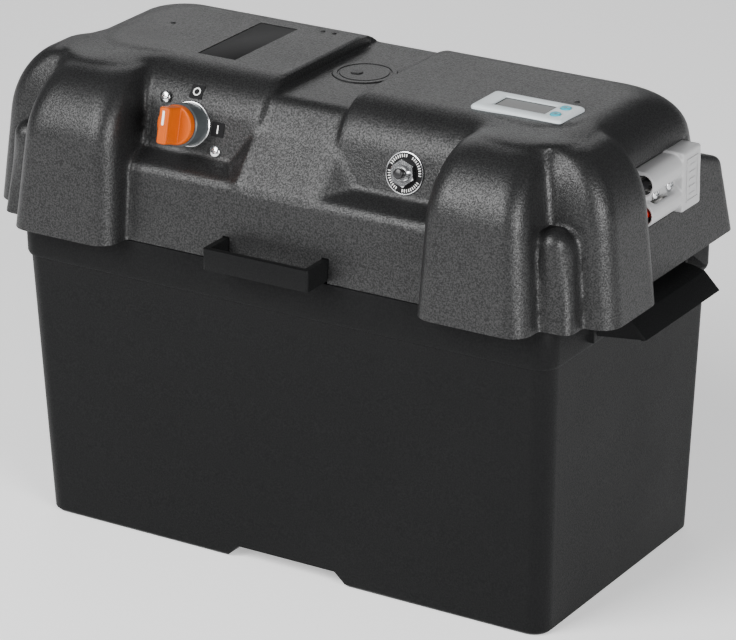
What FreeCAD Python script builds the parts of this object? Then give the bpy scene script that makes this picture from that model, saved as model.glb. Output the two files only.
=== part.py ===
import FreeCAD
import Part

import math
import os
import re

from FreeCAD import Vector

# A plastic battery box. X runs along the front, +Y to the back, +Z up, and the origin is the
# middle of the footprint on the surface that the feet stand on. Every size is in millimetres.

DIMENSIONS = {
    # base case
    "base_half_length": 175.0,
    "base_half_width": 92.2,
    "wall_top_flare": 6.14,
    "corner_radius": 12.0,
    "bottom_edge": 2.0,
    "band_height": 24.2,
    "band_proud": 1.7,
    "rim_top": 194.2,
    "base_wall": 3.2,
    "floor_thickness": 3.5,
    "foot_height": 8.5,
    "foot_gap_half": 43.0,
    "foot_edge_slope": 9.0,
    "lip_height": 9.8,
    "lip_thickness": 2.7,
    "lip_gap": 1.6,
    "rib_from_corner": 43.54,
    "rib_thickness": 3.0,
    "rib_reach": 5.5,
    # strap loops and end handles of the base case
    "loop_half_length": 36.0,
    "loop_stand_off": 20.46,
    "loop_bar": 3.8,
    "loop_rise": 1.6,
    "loop_height": 13.0,
    "loop_slot_gap": 0.5,
    "handle_half_length": 45.0,
    "handle_stand_off": 31.16,
    "handle_drop": 12.5,
    "handle_plate": 3.0,
    "handle_below_rim": 4.2,
    "handle_run": 10.0,
    "handle_fall": 2.4,
    # lid
    "lid_end_overhang": 12.16,
    "lid_side_overhang": 0.36,
    "lid_seat_gap": 0.3,
    "lid_wall": 3.0,
    "skirt_height": 45.8,
    "skirt_end_draft": 5.3,
    "skirt_side_draft": 6.4,
    "panel_set_back": 15.0,
    "back_set_back": 19.5,
    "back_corner_radius": 24.0,
    "panel_step": 7.0,
    "panel_tilt": 15.0,
    "shoulder_round": 32.0,
    "end_set_back": 1.3,
    "end_round": 29.0,
    "lid_rise": 99.3,
    "channel_half_width": 25.8,
    "channel_depth": 7.0,
    "channel_set_back": 33.4,
    "ramp_lean": 5.0,
    "cheek_foot_half_width": 43.0,
    "mark_radius": 19.5,
    "mark_proud": 0.5,
    "mark_nub_radius": 4.0,
    # front corner bulges of the lid
    "bulge_front_length": 72.5,
    "bulge_front_inset": 19.0,
    "bulge_front_stand_off": 20.1,
    "bulge_front_depth": 86.5,
    "bulge_end_length": 60.6,
    "bulge_end_inset": 16.4,
    "bulge_end_stand_off": 17.5,
    "bulge_end_depth": 80.5,
    "bulge_draft": 6.2,
    "bulge_round": 40.0,
    "bulge_below_top": 2.0,
    "bulge_corner_radius": 13.0,
    "buttress_radius": 9.5,
    "buttress_rise": 48.8,
    "buttress_end_inset": 15.5,
    "buttress_side_inset": 11.4,
    # isolator switch on the left front panel
    "switch_x": -73.6,
    "switch_up": 17.6,
    "switch_pad_depth": 1.5,
    "switch_pad_rim": 0.6,
    "collar_radius": 12.6,
    "collar_height": 13.0,
    "collar_neck_step": 3.0,
    "face_ring_rim": 1.0,
    "face_ring_height": 0.8,
    "knob_radius": 11.8,
    "knob_skirt": 4.6,
    "knob_gap": 0.4,
    "knob_bar_width": 7.0,
    "knob_bar_length": 22.0,
    "knob_bar_height": 12.0,
    "shaft_radius": 3.0,
    "shaft_bite": 10.0,
    "switch_body_radius": 16.5,
    "switch_body_depth": 26.0,
    "screw_reach_x": 19.35,
    "screw_reach_up": 13.0,
    "screw_head_radius": 3.6,
    "screw_head_height": 2.2,
    "screw_radius": 2.0,
    "screw_end": 5.0,
    "screw_nut_height": 3.2,
    "screw_nut_across": 8.2,
    "ear_thickness": 3.0,
    "ear_radius": 4.8,
    "stud_radius": 4.0,
    "stud_length": 16.0,
    "stud_spacing": 22.0,
    "stud_nut_across": 15.0,
    "stud_nut_height": 6.0,
    "plate_side": 8.7,
    "plate_thickness": 0.4,
    "on_plate_gap": 1.25,
    "off_plate_angle": 39.0,
    # circuit breaker on the right front panel
    "breaker_x": 73.8,
    "breaker_up": 14.7,
    "washer_thickness": 0.9,
    "breaker_plate_radius": 12.4,
    "breaker_plate_thickness": 1.0,
    "breaker_nut_across": 14.0,
    "breaker_nut_height": 3.2,
    "bushing_radius": 5.0,
    "bushing_rise": 6.2,
    "washer_rim": 3.5,
    "button_radius": 3.3,
    "button_rise": 3.0,
    "button_bite": 6.0,
    "breaker_width": 17.0,
    "breaker_length": 28.0,
    "breaker_depth": 30.0,
    "breaker_pole_spacing": 16.0,
    "clamp_side": 9.0,
    # meter on the right of the top
    "meter_x": 124.8,
    "meter_y": -25.4,
    "meter_length": 59.0,
    "meter_width": 30.0,
    "meter_rise": 2.6,
    "meter_body_depth": 14.0,
    "meter_body_length": 50.0,
    "meter_body_width": 24.0,
    "meter_body_wall": 1.5,
    "window_x": -1.5,
    "window_length": 34.0,
    "window_width": 16.0,
    "window_sink": 0.6,
    "board_depth": 5.0,
    "board_thickness": 1.6,
    "meter_button_x": 21.4,
    "meter_button_y": 6.0,
    "meter_button_radius": 3.1,
    "meter_button_rise": 0.9,
    "meter_button_travel": 0.6,
    "meter_button_stem": 1.2,
    # connectors on the end walls
    "connector_recess": 10.2,
    "connector_thickness": 13.8,
    "connector_gap": 12.4,
    "connector_length": 58.0,
    "connector_rise": 34.3,
    "connector_edge": 18.1,
    "connector_block": 22.0,
    "connector_web": 7.6,
    "pole_spacing": 18.2,
    "barrel_height": 16.0,
    "barrel_bore": 5.2,
    "mouth_height": 12.0,
    "mouth_width": 8.6,
    "mouth_depth": 19.0,
    "contact_radius": 4.6,
    "contact_crimp": 17.0,
    "tongue_thickness": 2.0,
    "tongue_height": 8.4,
    "lead_radius": 3.0,
    "fit_gap": 0.3,
    "connector_screw_a": 13.0,
    "connector_screw_b": 30.0,
    "grommet_radius": 5.6,
    "grommet_flange": 1.6,
    # blank rating plate on the left of the top
    "label_x": -80.5,
    "label_y": -2.2,
    "label_length": 67.5,
    "label_width": 26.0,
    "label_depth": 0.8,
    "label_gap": 0.2,
    # negative post under the channel
    "post_y": 22.0,
    "post_radius": 11.0,
    "post_height": 9.0,
    "post_stud_length": 24.0,
    "post_clamp_length": 16.0,
    "post_clamp_width": 14.0,
}

# Sizes and places that follow from the driving dimensions.
WORKED = {
    "band_bottom": "rim_top - band_height",
    "rim_half_length": "base_half_length + wall_top_flare + band_proud",
    "rim_half_width": "base_half_width + wall_top_flare + band_proud",
    "lip_inset": "lid_wall + lip_gap",
    "loop_reach": "rim_half_width + loop_stand_off",
    "loop_bottom": "rim_top + loop_rise",
    "handle_reach": "rim_half_length + handle_stand_off",
    "handle_top": "rim_top - handle_below_rim",
    "lid_bottom": "rim_top + lid_seat_gap",
    "lid_half_length": "rim_half_length + lid_end_overhang",
    "lid_half_width": "rim_half_width + lid_side_overhang",
    "shelf_height": "rim_top + skirt_height",
    "shelf_half_length": "lid_half_length - skirt_end_draft",
    "shelf_half_width": "lid_half_width - skirt_side_draft",
    "panel_foot_half_width": "shelf_half_width - panel_set_back",
    "back_foot_half_width": "shelf_half_width - back_set_back",
    "panel_foot_height": "shelf_height + panel_step",
    "end_half_length": "shelf_half_length - end_set_back",
    "lid_top": "rim_top + lid_rise",
    "channel_floor": "lid_top - channel_depth",
    "channel_front": "shelf_half_width - channel_set_back",
    "bulge_front_outer": "lid_half_length - bulge_front_inset",
    "bulge_front_inner": "bulge_front_outer - bulge_front_length",
    "bulge_front_reach": "lid_half_width + bulge_front_stand_off",
    "bulge_end_front": "lid_half_width - bulge_end_inset",
    "bulge_end_back": "bulge_end_front - bulge_end_length",
    "bulge_end_reach": "lid_half_length + bulge_end_stand_off",
    "bulge_top": "lid_top - bulge_below_top",
    "buttress_top": "rim_top + buttress_rise",
    "buttress_x": "lid_half_length - buttress_end_inset",
    "buttress_y": "buttress_side_inset - lid_half_width",
    "connector_inner": "lid_half_length - connector_recess",
    "connector_front": "connector_gap - bulge_end_back",
    "connector_back": "connector_front + connector_length",
    "connector_low": "rim_top + connector_rise",
    "connector_height": "pole_spacing + connector_edge",
    "connector_middle": "connector_low + connector_height / 2",
    "pole_x": "connector_inner + connector_thickness / 2",
    "face_ring_radius": "collar_radius + face_ring_rim",
    "on_plate_distance": "face_ring_radius + on_plate_gap + plate_side / 2",
    "switch_seat": "lid_wall + switch_pad_depth",
    "breaker_seat": "lid_wall + washer_thickness",
    "knob_top": "collar_height + knob_gap + knob_skirt + knob_bar_height",
    "switch_back": "-switch_seat - switch_body_depth",
    "breaker_back": "-breaker_seat - breaker_depth",
    "post_top": "channel_floor - lid_wall",
}

document = FreeCAD.newDocument("BatteryBox")
sheet = document.addObject("Spreadsheet::Sheet", "Dims")
for row, (alias, number) in enumerate(DIMENSIONS.items(), start=1):
    sheet.set(f"A{row}", alias)
    sheet.set(f"B{row}", str(number))
    sheet.setAlias(f"B{row}", alias)
document.recompute()

pieces = []


def located(word):
    """A name as a formula writes it: with the sheet that holds it in front."""
    if word in DIMENSIONS:
        return "Dims." + word
    return "Worked." + word if word in WORKED else word


def expression(words):
    """The same formula with every dimension's name pointing at its sheet."""
    return re.sub(r"[a-z][a-z0-9_]*", lambda match: located(match[0]), words)


worked_sheet = document.addObject("Spreadsheet::Sheet", "Worked")
for row, (alias, words) in enumerate(WORKED.items(), start=1):
    own_names = re.sub(r"[a-z][a-z0-9_]*", lambda m: "Dims." + m[0] if m[0] in DIMENSIONS else m[0], words)
    worked_sheet.set(f"A{row}", alias)
    worked_sheet.set(f"B{row}", "=" + own_names)
    worked_sheet.setAlias(f"B{row}", alias)
document.recompute()


def size(alias):
    """A dimension by its name, from whichever sheet holds it."""
    holder = sheet if alias in DIMENSIONS else worked_sheet
    return float(holder.get(alias))


def bind(thing, **formulas):
    for name, words in formulas.items():
        thing.setExpression(name.replace("__", "."), expression(words))
    return thing


def finish(thing, label):
    """Keeps an object as a sub-part under its own label."""
    thing.Label = label
    pieces.append(thing)
    return thing


# ---------------------------------------------------------------- bound primitives

AXES = {"x": Vector(1, 0, 0), "y": Vector(0, 1, 0), "z": Vector(0, 0, 1)}


def bound_box(name, lengths, centre):
    """A box from three side lengths and the middle of it, all written as formulas."""
    box = document.addObject("Part::Box", name)
    bind(box, Length=lengths[0], Width=lengths[1], Height=lengths[2])
    corner = [f"({place}) - ({length}) / 2" for place, length in zip(centre, lengths)]
    bind(box, Placement__Base__x=corner[0], Placement__Base__y=corner[1], Placement__Base__z=corner[2])
    return box


def bound_cylinder(name, radius, height, start, axis="z"):
    """A cylinder that rises from its start along one of the axes."""
    cylinder = document.addObject("Part::Cylinder", name)
    bind(cylinder, Radius=radius, Height=height)
    cylinder.Placement.Rotation = FreeCAD.Rotation(Vector(0, 0, 1), AXES[axis])
    bind(cylinder, Placement__Base__x=start[0], Placement__Base__y=start[1], Placement__Base__z=start[2])
    return cylinder


def bound_prism(name, sides, across, height, start, axis="z"):
    """A regular prism, as a nut has, from its size across the corners."""
    prism = document.addObject("Part::Prism", name)
    prism.Polygon = sides
    bind(prism, Circumradius=f"({across}) / 2", Height=height)
    prism.Placement.Rotation = FreeCAD.Rotation(Vector(0, 0, 1), AXES[axis])
    bind(prism, Placement__Base__x=start[0], Placement__Base__y=start[1], Placement__Base__z=start[2])
    return prism


def cut(name, base, tool):
    result = document.addObject("Part::Cut", name)
    result.Base = base
    result.Tool = tool
    return result


def fuse(name, parts):
    result = document.addObject("Part::MultiFuse", name)
    result.Shapes = parts
    return result


def group(name, parts):
    """Separate solids that share one node, as identical fasteners do."""
    result = document.addObject("Part::Compound", name)
    result.Links = parts
    return result


def round_edges(name, base, radius, wanted):
    """Fillets the edges of a base whose middle points pass the test."""
    document.recompute()
    chosen = [n for n, edge in enumerate(base.Shape.Edges, start=1) if wanted(edge)]
    result = document.addObject("Part::Fillet", name)
    result.Base = base
    result.Edges = [(n, radius, radius) for n in chosen]
    return result


def feature(label, shape):
    thing = document.addObject("Part::Feature", label)
    thing.Shape = shape
    return finish(thing, label)


# ---------------------------------------------------------------- free-form helpers


def rounded_rectangle(x_low, x_high, y_low, y_high, radius, height):
    """A level outline with round corners."""
    turn = radius * (1 - math.sqrt(0.5))
    points = {
        "a": (x_low + radius, y_low), "b": (x_high - radius, y_low),
        "c": (x_high, y_low + radius), "d": (x_high, y_high - radius),
        "e": (x_high - radius, y_high), "f": (x_low + radius, y_high),
        "g": (x_low, y_high - radius), "i": (x_low, y_low + radius),
    }
    at = {name: Vector(x, y, height) for name, (x, y) in points.items()}
    corners = {
        "bc": Vector(x_high - turn, y_low + turn, height), "de": Vector(x_high - turn, y_high - turn, height),
        "fg": Vector(x_low + turn, y_high - turn, height), "ia": Vector(x_low + turn, y_low + turn, height),
    }
    edges = []
    for first, second, third in ("abc", "cde", "efg", "gia"):
        edges.append(Part.LineSegment(at[first], at[second]).toShape())
        edges.append(Part.Arc(at[second], corners[second + third], at[third]).toShape())
    return Part.Wire(edges)


def stack(outlines):
    """A solid through level outlines, each (x_low, x_high, y_low, y_high, radius, height)."""
    return Part.makeLoft([rounded_rectangle(*outline) for outline in outlines], True, True)


def centred(half_length, half_width, radius, height):
    return (-half_length, half_length, -half_width, half_width, radius, height)


def slab(x_low, x_high, y_low, y_high, z_low, z_high):
    return Part.makeBox(x_high - x_low, y_high - y_low, z_high - z_low, Vector(x_low, y_low, z_low))


def swept_profile(points, along, start, length):
    """A polygon in the plane across an axis, drawn out along it. Points are (first, height)."""
    if along == "x":
        corners = [Vector(start, first, height) for first, height in points]
    else:
        corners = [Vector(first, start, height) for first, height in points]
    face = Part.Face(Part.makePolygon(corners + corners[:1]))
    return face.extrude(AXES[along] * length)


def mirrored(shape):
    """The same shape on the other end of the box."""
    return shape.mirror(Vector(0, 0, 0), Vector(1, 0, 0))


def mirrored_back(shape):
    return shape.mirror(Vector(0, 0, 0), Vector(0, 1, 0))


# ---------------------------------------------------------------- base case


def wall_flare(height):
    """How far the drafted wall has moved out at a height."""
    return size("wall_top_flare") * height / size("band_bottom")


def base_outside():
    length, width, radius = size("base_half_length"), size("base_half_width"), size("corner_radius")
    edge, overlap = size("bottom_edge"), 0.3
    flare, band = size("wall_top_flare"), size("band_proud")
    walls = stack([
        centred(length - edge, width - edge, radius - edge, 0),
        centred(length + wall_flare(edge), width + wall_flare(edge), radius, edge),
        centred(length + flare + overlap, width + flare + overlap, radius, size("band_bottom") + 8),
    ])
    rim = stack([
        centred(length + flare + band - 2 * overlap, width + flare + band - 2 * overlap, radius,
                size("band_bottom")),
        centred(length + flare + band, width + flare + band, radius, size("band_bottom") + edge),
        centred(length + flare + band + overlap, width + flare + band + overlap, radius, size("rim_top")),
    ])
    return walls.fuse(rim)


def lip_outline(inset, height):
    """The upright lip that finds the lid, inset from the rim."""
    length, width = size("rim_half_length") - inset, size("rim_half_width") - inset
    return centred(length, width, size("corner_radius") - 3, height)


def base_hollow():
    length, width, wall = size("base_half_length"), size("base_half_width"), size("base_wall")
    radius = size("corner_radius") - wall
    floor = size("foot_height") + size("floor_thickness")
    inside = size("lip_inset") + size("lip_thickness")
    top = size("rim_top") + size("lip_height")
    lower = stack([
        centred(length - wall, width - wall, radius, floor),
        lip_outline(inside, size("rim_top") - 6)[:4] + (radius, size("rim_top") - 6),
        lip_outline(inside, top + 1)[:4] + (radius, top + 1),
    ])
    inner_foot, edge = size("foot_gap_half") + wall, wall + 2
    wells = slab(inner_foot, length - edge, edge - width, width - edge, size("floor_thickness"), floor + 1)
    return lower.fuse([wells, mirrored(wells)])


def strap_loop():
    """One upright bar on two arms, with a slot behind it for a hold-down strap."""
    reach, half, bar = size("loop_reach"), size("loop_half_length"), size("loop_bar")
    low, high = size("loop_bottom"), size("loop_bottom") + size("loop_height")
    root = size("rim_half_width") - size("lip_inset") - size("lip_thickness") / 2
    outline = slab(-half, half, -reach, -root, low, high)
    outline = outline.makeFillet(2.0, [e for e in outline.Edges if abs(e.CenterOfMass.y + reach) < 0.01
                                       and e.Vertexes[0].Point.z != e.Vertexes[-1].Point.z])
    slot = slab(-half + bar, half - bar, -reach + bar, -root + 0.01, low - 1, high + 1)
    return outline.cut(slot)


def end_handle():
    """A sloping grip plate under the lid's edge, with a web at each end."""
    top, drop, reach = size("handle_top"), size("handle_drop"), size("handle_reach")
    plate, half = size("handle_plate"), size("handle_half_length")
    wall = size("base_half_length") + size("wall_top_flare")
    bend, fall = reach - size("handle_run"), size("handle_fall")
    upper = [(wall - 1, top + 1), (bend - 8, top), (bend, top - fall), (reach, top - drop)]
    under = [(reach - plate, top - drop - 1), (bend - plate / 2, top - plate - fall),
             (bend - 9, top - plate), (wall - 1, top - plate + 1)]
    grip = swept_profile(upper + under, "y", -half, 2 * half)
    web_profile = upper + [(wall - 1, top - drop - 4)]
    near = swept_profile(web_profile, "y", -half, plate)
    far = swept_profile(web_profile, "y", half - plate, plate)
    return grip.fuse([near, far])


def corner_rib():
    """A short stiffening rib on the end wall under the rim."""
    wall = size("base_half_length") + size("wall_top_flare")
    front = size("rib_from_corner") - size("rim_half_width")
    return slab(wall - 1, wall + size("rib_reach"), front, front + size("rib_thickness"),
                size("band_bottom") + 4, size("rim_top") - 0.2)


def foot_channel():
    """The gap that parts the footprint into a left and a right foot."""
    half, slope, rise = size("foot_gap_half"), size("foot_edge_slope"), size("foot_height")
    reach = size("base_half_width") + 20
    outline = [(-half, 0), (half, 0), (half - slope, rise), (slope - half, rise)]
    return swept_profile(outline, "y", -reach, 2 * reach)


def base_case():
    lip_top = size("rim_top") + size("lip_height")
    low = size("rim_top") - 4
    lip = stack([lip_outline(size("lip_inset"), low), lip_outline(size("lip_inset"), lip_top)])
    body = base_outside().fuse(lip).cut(foot_channel()).cut(base_hollow())
    handles = [end_handle(), mirrored(end_handle())]
    loops = [strap_loop(), mirrored_back(strap_loop())]
    ribs = [corner_rib(), mirrored(corner_rib())]
    ribs += [mirrored_back(rib) for rib in ribs]
    feature("base_case", body.fuse(handles + loops + ribs).removeSplitter())


# ---------------------------------------------------------------- lid


def panel_round_centre(foot_half_width):
    """Where the round that joins a sloping panel to the top has its axis: reach and height."""
    tilt = math.radians(size("panel_tilt"))
    height = size("lid_top") - size("shoulder_round")
    drop = size("panel_foot_height") - height
    half = foot_half_width + (drop * math.sin(tilt) - size("shoulder_round")) / math.cos(tilt)
    return half, height


def half_profile(inset, foot_half_width):
    """Half of the lid's outline, from the skirt to the top: corners and the round."""
    tilt = math.radians(size("panel_tilt"))
    axis, height = panel_round_centre(foot_half_width)
    radius = size("shoulder_round") - inset
    foot = foot_half_width - inset / math.cos(tilt) + inset * math.tan(tilt)
    shelf, shelf_height = size("shelf_half_width") - inset, size("shelf_height") - inset
    foot_height = size("panel_foot_height") - inset
    corners = [(shelf - 1, shelf_height - 8), (shelf, shelf_height), (foot, foot_height)]
    middle = (tilt + math.pi / 2) / 2
    arc = [(axis + radius * math.cos(a), height + radius * math.sin(a)) for a in (tilt, middle, math.pi / 2)]
    return corners, arc


def cross_section(inset):
    """The solid that the lid's front and back outline makes along the whole length."""
    front_half = half_profile(inset, size("panel_foot_half_width"))
    back_half = half_profile(inset, size("back_foot_half_width"))
    reach = size("lid_half_length") + 20

    def front(point):
        return Vector(-reach, -point[0], point[1])

    def back(point):
        return Vector(-reach, point[0], point[1])

    edges = []
    for side, (corners, arc) in ((front, front_half), (back, back_half)):
        spots = [side(p) for p in corners + arc[:1]]
        edges += [Part.makeLine(a, b) for a, b in zip(spots, spots[1:])]
        edges.append(Part.Arc(*[side(p) for p in arc]).toShape())
    edges.append(Part.makeLine(front(front_half[1][-1]), back(back_half[1][-1])))
    edges.append(Part.makeLine(front(front_half[0][0]), back(back_half[0][0])))
    wire = Part.Wire(Part.__sortEdges__(edges))
    return Part.Face(wire).extrude(Vector(2 * reach, 0, 0))


def end_section(inset):
    """The solid that the lid's end outline makes from front to back."""
    radius = size("end_round") - inset
    half, foot = size("end_half_length") - inset, size("shelf_half_length") - inset
    height, low = size("lid_top") - size("end_round"), size("shelf_height") - 20
    reach = size("lid_half_width") + 20
    middle = radius * math.sqrt(0.5)
    edges = []
    for side in (-1, 1):
        spots = [(side * foot, low), (side * foot, size("shelf_height")), (side * half, height)]
        arc = [(side * half, height), (side * (half - radius + middle), height + middle),
               (side * (half - radius), height + radius)]
        corners = [Vector(x, -reach, z) for x, z in spots]
        edges += [Part.makeLine(a, b) for a, b in zip(corners, corners[1:])]
        edges.append(Part.Arc(*[Vector(x, -reach, z) for x, z in arc]).toShape())
    top = half - radius
    edges.append(Part.makeLine(Vector(-top, -reach, height + radius), Vector(top, -reach, height + radius)))
    edges.append(Part.makeLine(Vector(-foot, -reach, low), Vector(foot, -reach, low)))
    wire = Part.Wire(Part.__sortEdges__(edges))
    return Part.Face(wire).extrude(Vector(0, 2 * reach, 0))


def skirt(inset, low):
    return stack([
        centred(size("lid_half_length") - inset, size("lid_half_width") - inset, 7 - inset, low),
        centred(size("shelf_half_length") - inset, size("shelf_half_width") - inset, 6.5 - inset,
                size("shelf_height") - inset),
    ])


def bulge(x_low, x_high, y_low, y_high, round_x, round_y, inset, low):
    """A drafted bulge whose top rolls over. The free sides are x_low, x_high and y_low."""
    draft = math.tan(math.radians(size("bulge_draft")))
    top, turn = size("bulge_top") - inset, size("bulge_round")
    start = top - turn + inset
    outlines = []
    heights = [low, start] + [start + (top - start) * share for share in (0.35, 0.6, 0.8, 0.93, 1.0)]
    for height in heights:
        lean = draft * (height - size("lid_bottom"))
        share = max(0.0, (height - start) / (top - start)) * 0.985
        roll = 1 - math.sqrt(1 - share * share)
        outlines.append((x_low + lean * round_x[0] + inset + roll * round_x[2],
                         x_high - lean * round_x[1] - inset - roll * round_x[3],
                         y_low + lean * round_y[0] + inset + roll * round_y[2],
                         y_high - inset - roll * round_y[3],
                         size("bulge_corner_radius") - inset, height))
    return stack(outlines)


def front_bulge(inset, low):
    front = -size("bulge_front_reach")
    inner, outer = size("bulge_front_inner"), size("bulge_front_outer")
    back = front + size("bulge_front_depth")
    return bulge(inner, outer, front, back, (0.3, 0.9, 9, 10), (1, 0, 38, 0), inset, low)


def end_bulge(inset, low):
    end = size("bulge_end_reach")
    return bulge(end - size("bulge_end_depth"), end, -size("bulge_end_front"), -size("bulge_end_back"),
                 (0, 1.0, 4, 27), (0.6, 0, 14, 6), inset, low)


def buttress(low):
    """A slim upright rib with a domed head in the valley between two bulges."""
    radius, top = size("buttress_radius"), size("buttress_top")
    x, y = size("buttress_x"), size("buttress_y")
    stem = Part.makeCone(radius + 1, radius, top - low, Vector(x, y, low))
    return stem.fuse(Part.makeSphere(radius, Vector(x, y, top)))


def faceted(points, faces):
    """A closed solid from named corners and the faces between them."""
    outlines = [Part.makePolygon([points[name] for name in names + names[0]]) for names in faces]
    return Part.Solid(Part.Shell([Part.Face(outline) for outline in outlines]))


def strap_ramp():
    """The flat ramp in the middle of the front, which leans a little, with a sloping cheek at each side."""
    front, floor = size("channel_front"), size("channel_floor")
    half, foot, lean = size("channel_half_width"), size("cheek_foot_half_width"), size("ramp_lean")
    shelf, shelf_height = size("shelf_half_width"), size("shelf_height")
    panel, panel_height = size("panel_foot_half_width"), size("panel_foot_height")
    corners = {
        "a": Vector(-half - lean, -shelf, shelf_height), "b": Vector(half - lean, -shelf, shelf_height),
        "c": Vector(-half, -front, floor), "d": Vector(half, -front, floor),
        "e": Vector(-foot, -panel, panel_height), "f": Vector(foot, -panel, panel_height),
        "g": Vector(-foot, -front, shelf_height), "i": Vector(foot, -front, shelf_height),
    }
    faces = ("abd", "adc", "ace", "bfd", "aeg", "agi", "aib", "bif", "ceg", "cgi", "cid", "dif")
    return faceted(corners, faces)


def channel(inset):
    """What the strap channel takes away: a level floor, then a slope down the front and the back."""
    front, floor = size("channel_front"), size("channel_floor") - inset
    half = size("channel_half_width") + inset
    shelf, shelf_height = size("shelf_half_width"), size("shelf_height")
    slope = (shelf - front) / (size("channel_floor") - shelf_height)
    low = size("channel_floor") - 30
    outer = front + slope * 30 - inset
    top = size("lid_top") + 10
    points = [(-outer, low), (inset - front, floor), (front - inset, floor), (outer, low),
              (outer + 30, low), (outer + 30, top), (-outer - 30, top), (-outer - 30, low)]
    return swept_profile(points, "x", -half, 2 * half)


def upper_plan(inset):
    """An upright column that rounds the two back corners of the raised middle."""
    gap, front = 0.3, -size("lid_half_width") - 60
    half, foot = size("end_half_length") - inset + gap, size("shelf_half_length") - inset + 2 * gap
    back, shelf = size("back_foot_half_width") - inset + gap, size("shelf_height") - inset
    top, radius = size("lid_top") + 10, size("back_corner_radius") - inset
    column = stack([(-foot, foot, front, back, radius, shelf - 8),
                    (-half, half, front, back - 2, radius, size("lid_top") - size("end_round")),
                    (-half, half, front, back - 2, radius, top)])
    skirt_part = slab(-half - 30, half + 30, front, -front, shelf - 30, shelf + 3)
    return column.fuse(skirt_part)


def lid_form(inset, low):
    body = cross_section(inset).common(end_section(inset)).common(upper_plan(inset))
    front, end = front_bulge(inset, low), end_bulge(inset, low)
    return body.fuse([skirt(inset, low), front, end, mirrored(front), mirrored(end)])


def loop_slots():
    """Slots in the skirt that let the arms of the strap loops through."""
    bar, half, gap = size("loop_bar"), size("loop_half_length"), size("loop_slot_gap")
    high = size("loop_bottom") + size("loop_height") + gap
    reach = size("lid_half_width") + 5
    one = slab(half - bar - gap, half + gap, -reach, -reach + 14, size("lid_bottom") - 2, high)
    return [one, mirrored(one), mirrored_back(one), mirrored_back(mirrored(one))]


def connector_seat(inset):
    """The shallow flat pocket in an end wall that a connector sits in, from the bulge to its far end."""
    gap, low = size("fit_gap"), size("connector_low")
    high, room = low + size("connector_height"), gap + inset
    start, end = size("connector_inner") - 0.1 - inset, size("bulge_end_reach") + 20
    front, back = -size("bulge_end_back") - inset, size("connector_back") + room
    return slab(start, end, front, back, low - room, high + room)


def pole_heights():
    middle, half = size("connector_middle"), size("pole_spacing") / 2
    return [middle - half, middle + half]


def grommet_holes():
    """Round holes in the bulge's back wall that the leads come out of."""
    start, radius = -size("bulge_end_back") - 5, size("grommet_radius") - size("grommet_flange")
    return [Part.makeCylinder(radius, 10, Vector(size("pole_x"), start, height), AXES["y"])
            for height in pole_heights()]


def connector_screw_spots():
    """How far back each of the two screws is."""
    return [size("connector_front") + size(name) for name in ("connector_screw_a", "connector_screw_b")]


def connector_screw_holes():
    start, radius = size("connector_inner") - 8, size("screw_radius") + 0.1
    return [Part.makeCylinder(radius, 12, Vector(start, y, size("connector_middle")), AXES["x"])
            for y in connector_screw_spots()]


def panel_placement(x, up):
    """The frame of a front panel: local z is its outward normal and local y goes up the slope."""
    tilt = math.radians(size("panel_tilt"))
    foot = Vector(x, -size("panel_foot_half_width"), size("panel_foot_height"))
    slope = Vector(0, math.sin(tilt), math.cos(tilt))
    return FreeCAD.Placement(foot + slope * up, FreeCAD.Rotation(Vector(1, 0, 0), 90 - size("panel_tilt")))


def panel_holes():
    switch = panel_placement(size("switch_x"), size("switch_up"))
    breaker = panel_placement(size("breaker_x"), size("breaker_up"))
    reach_x, reach_up = size("screw_reach_x"), size("screw_reach_up")
    holes = []
    neck, gap = size("collar_radius") - size("collar_neck_step"), 0.1
    for frame, x, y, radius in ((switch, 0, 0, neck + gap),
                                (switch, -reach_x, reach_up, size("screw_radius") + gap),
                                (switch, reach_x, -reach_up, size("screw_radius") + gap),
                                (breaker, 0, 0, size("bushing_radius") + gap)):
        hole = Part.makeCylinder(radius, 30, Vector(x, y, -20))
        hole.Placement = frame
        holes.append(hole)
    return holes


def meter_cutout():
    gap = 2 * size("fit_gap")
    half_length, half_width = (size("meter_body_length") + gap) / 2, (size("meter_body_width") + gap) / 2
    x, y, top = size("meter_x"), size("meter_y"), size("lid_top")
    return slab(x - half_length, x + half_length, y - half_width, y + half_width, top - 12, top + 5)


def label_recess():
    half_length = size("label_length") / 2 + size("label_gap")
    half_width = size("label_width") / 2 + size("label_gap")
    x, y, top = size("label_x"), size("label_y"), size("lid_top")
    floor = top - size("label_depth")
    return slab(x - half_width, x + half_width, y - half_length, y + half_length, floor, top + 3)


def switch_pad():
    """A flat seat behind the switch, and the room that its drum and ears need there."""
    seat, frame = size("switch_seat"), panel_placement(size("switch_x"), size("switch_up"))
    reach_x, reach_up, gap = size("screw_reach_x"), size("screw_reach_up"), 0.4
    spots = ((0, 0, size("switch_body_radius")), (-reach_x, reach_up, size("ear_radius")),
             (reach_x, -reach_up, size("ear_radius")))
    pad, room = [], []
    for x, y, radius in spots:
        across = radius + gap + size("switch_pad_rim")
        pad.append(Part.makeCylinder(across, size("lid_wall"), Vector(x, y, -seat)))
        room.append(Part.makeCylinder(radius + gap, 8, Vector(x, y, -seat - 8)))
    half, ear = math.hypot(reach_x, reach_up), size("ear_radius") + gap
    strip = slab(-half, half, -ear, ear, -seat - 8, -seat)
    strip.rotate(Vector(0, 0, 0), Vector(0, 0, 1), -math.degrees(math.atan2(reach_up, reach_x)))
    pad, room = pad[0].fuse(pad[1:]), room[0].fuse(room[1:] + [strip])
    pad.Placement = frame
    room.Placement = frame
    return pad, room


def breaker_room():
    """A flat spot face inside the panel for the breaker's lock washer."""
    wall = size("lid_wall")
    room = Part.makeCylinder(size("bushing_radius") + size("washer_rim") + 1.4, 8, Vector(0, 0, -wall - 8))
    room.Placement = panel_placement(size("breaker_x"), size("breaker_up"))
    return room


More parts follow.
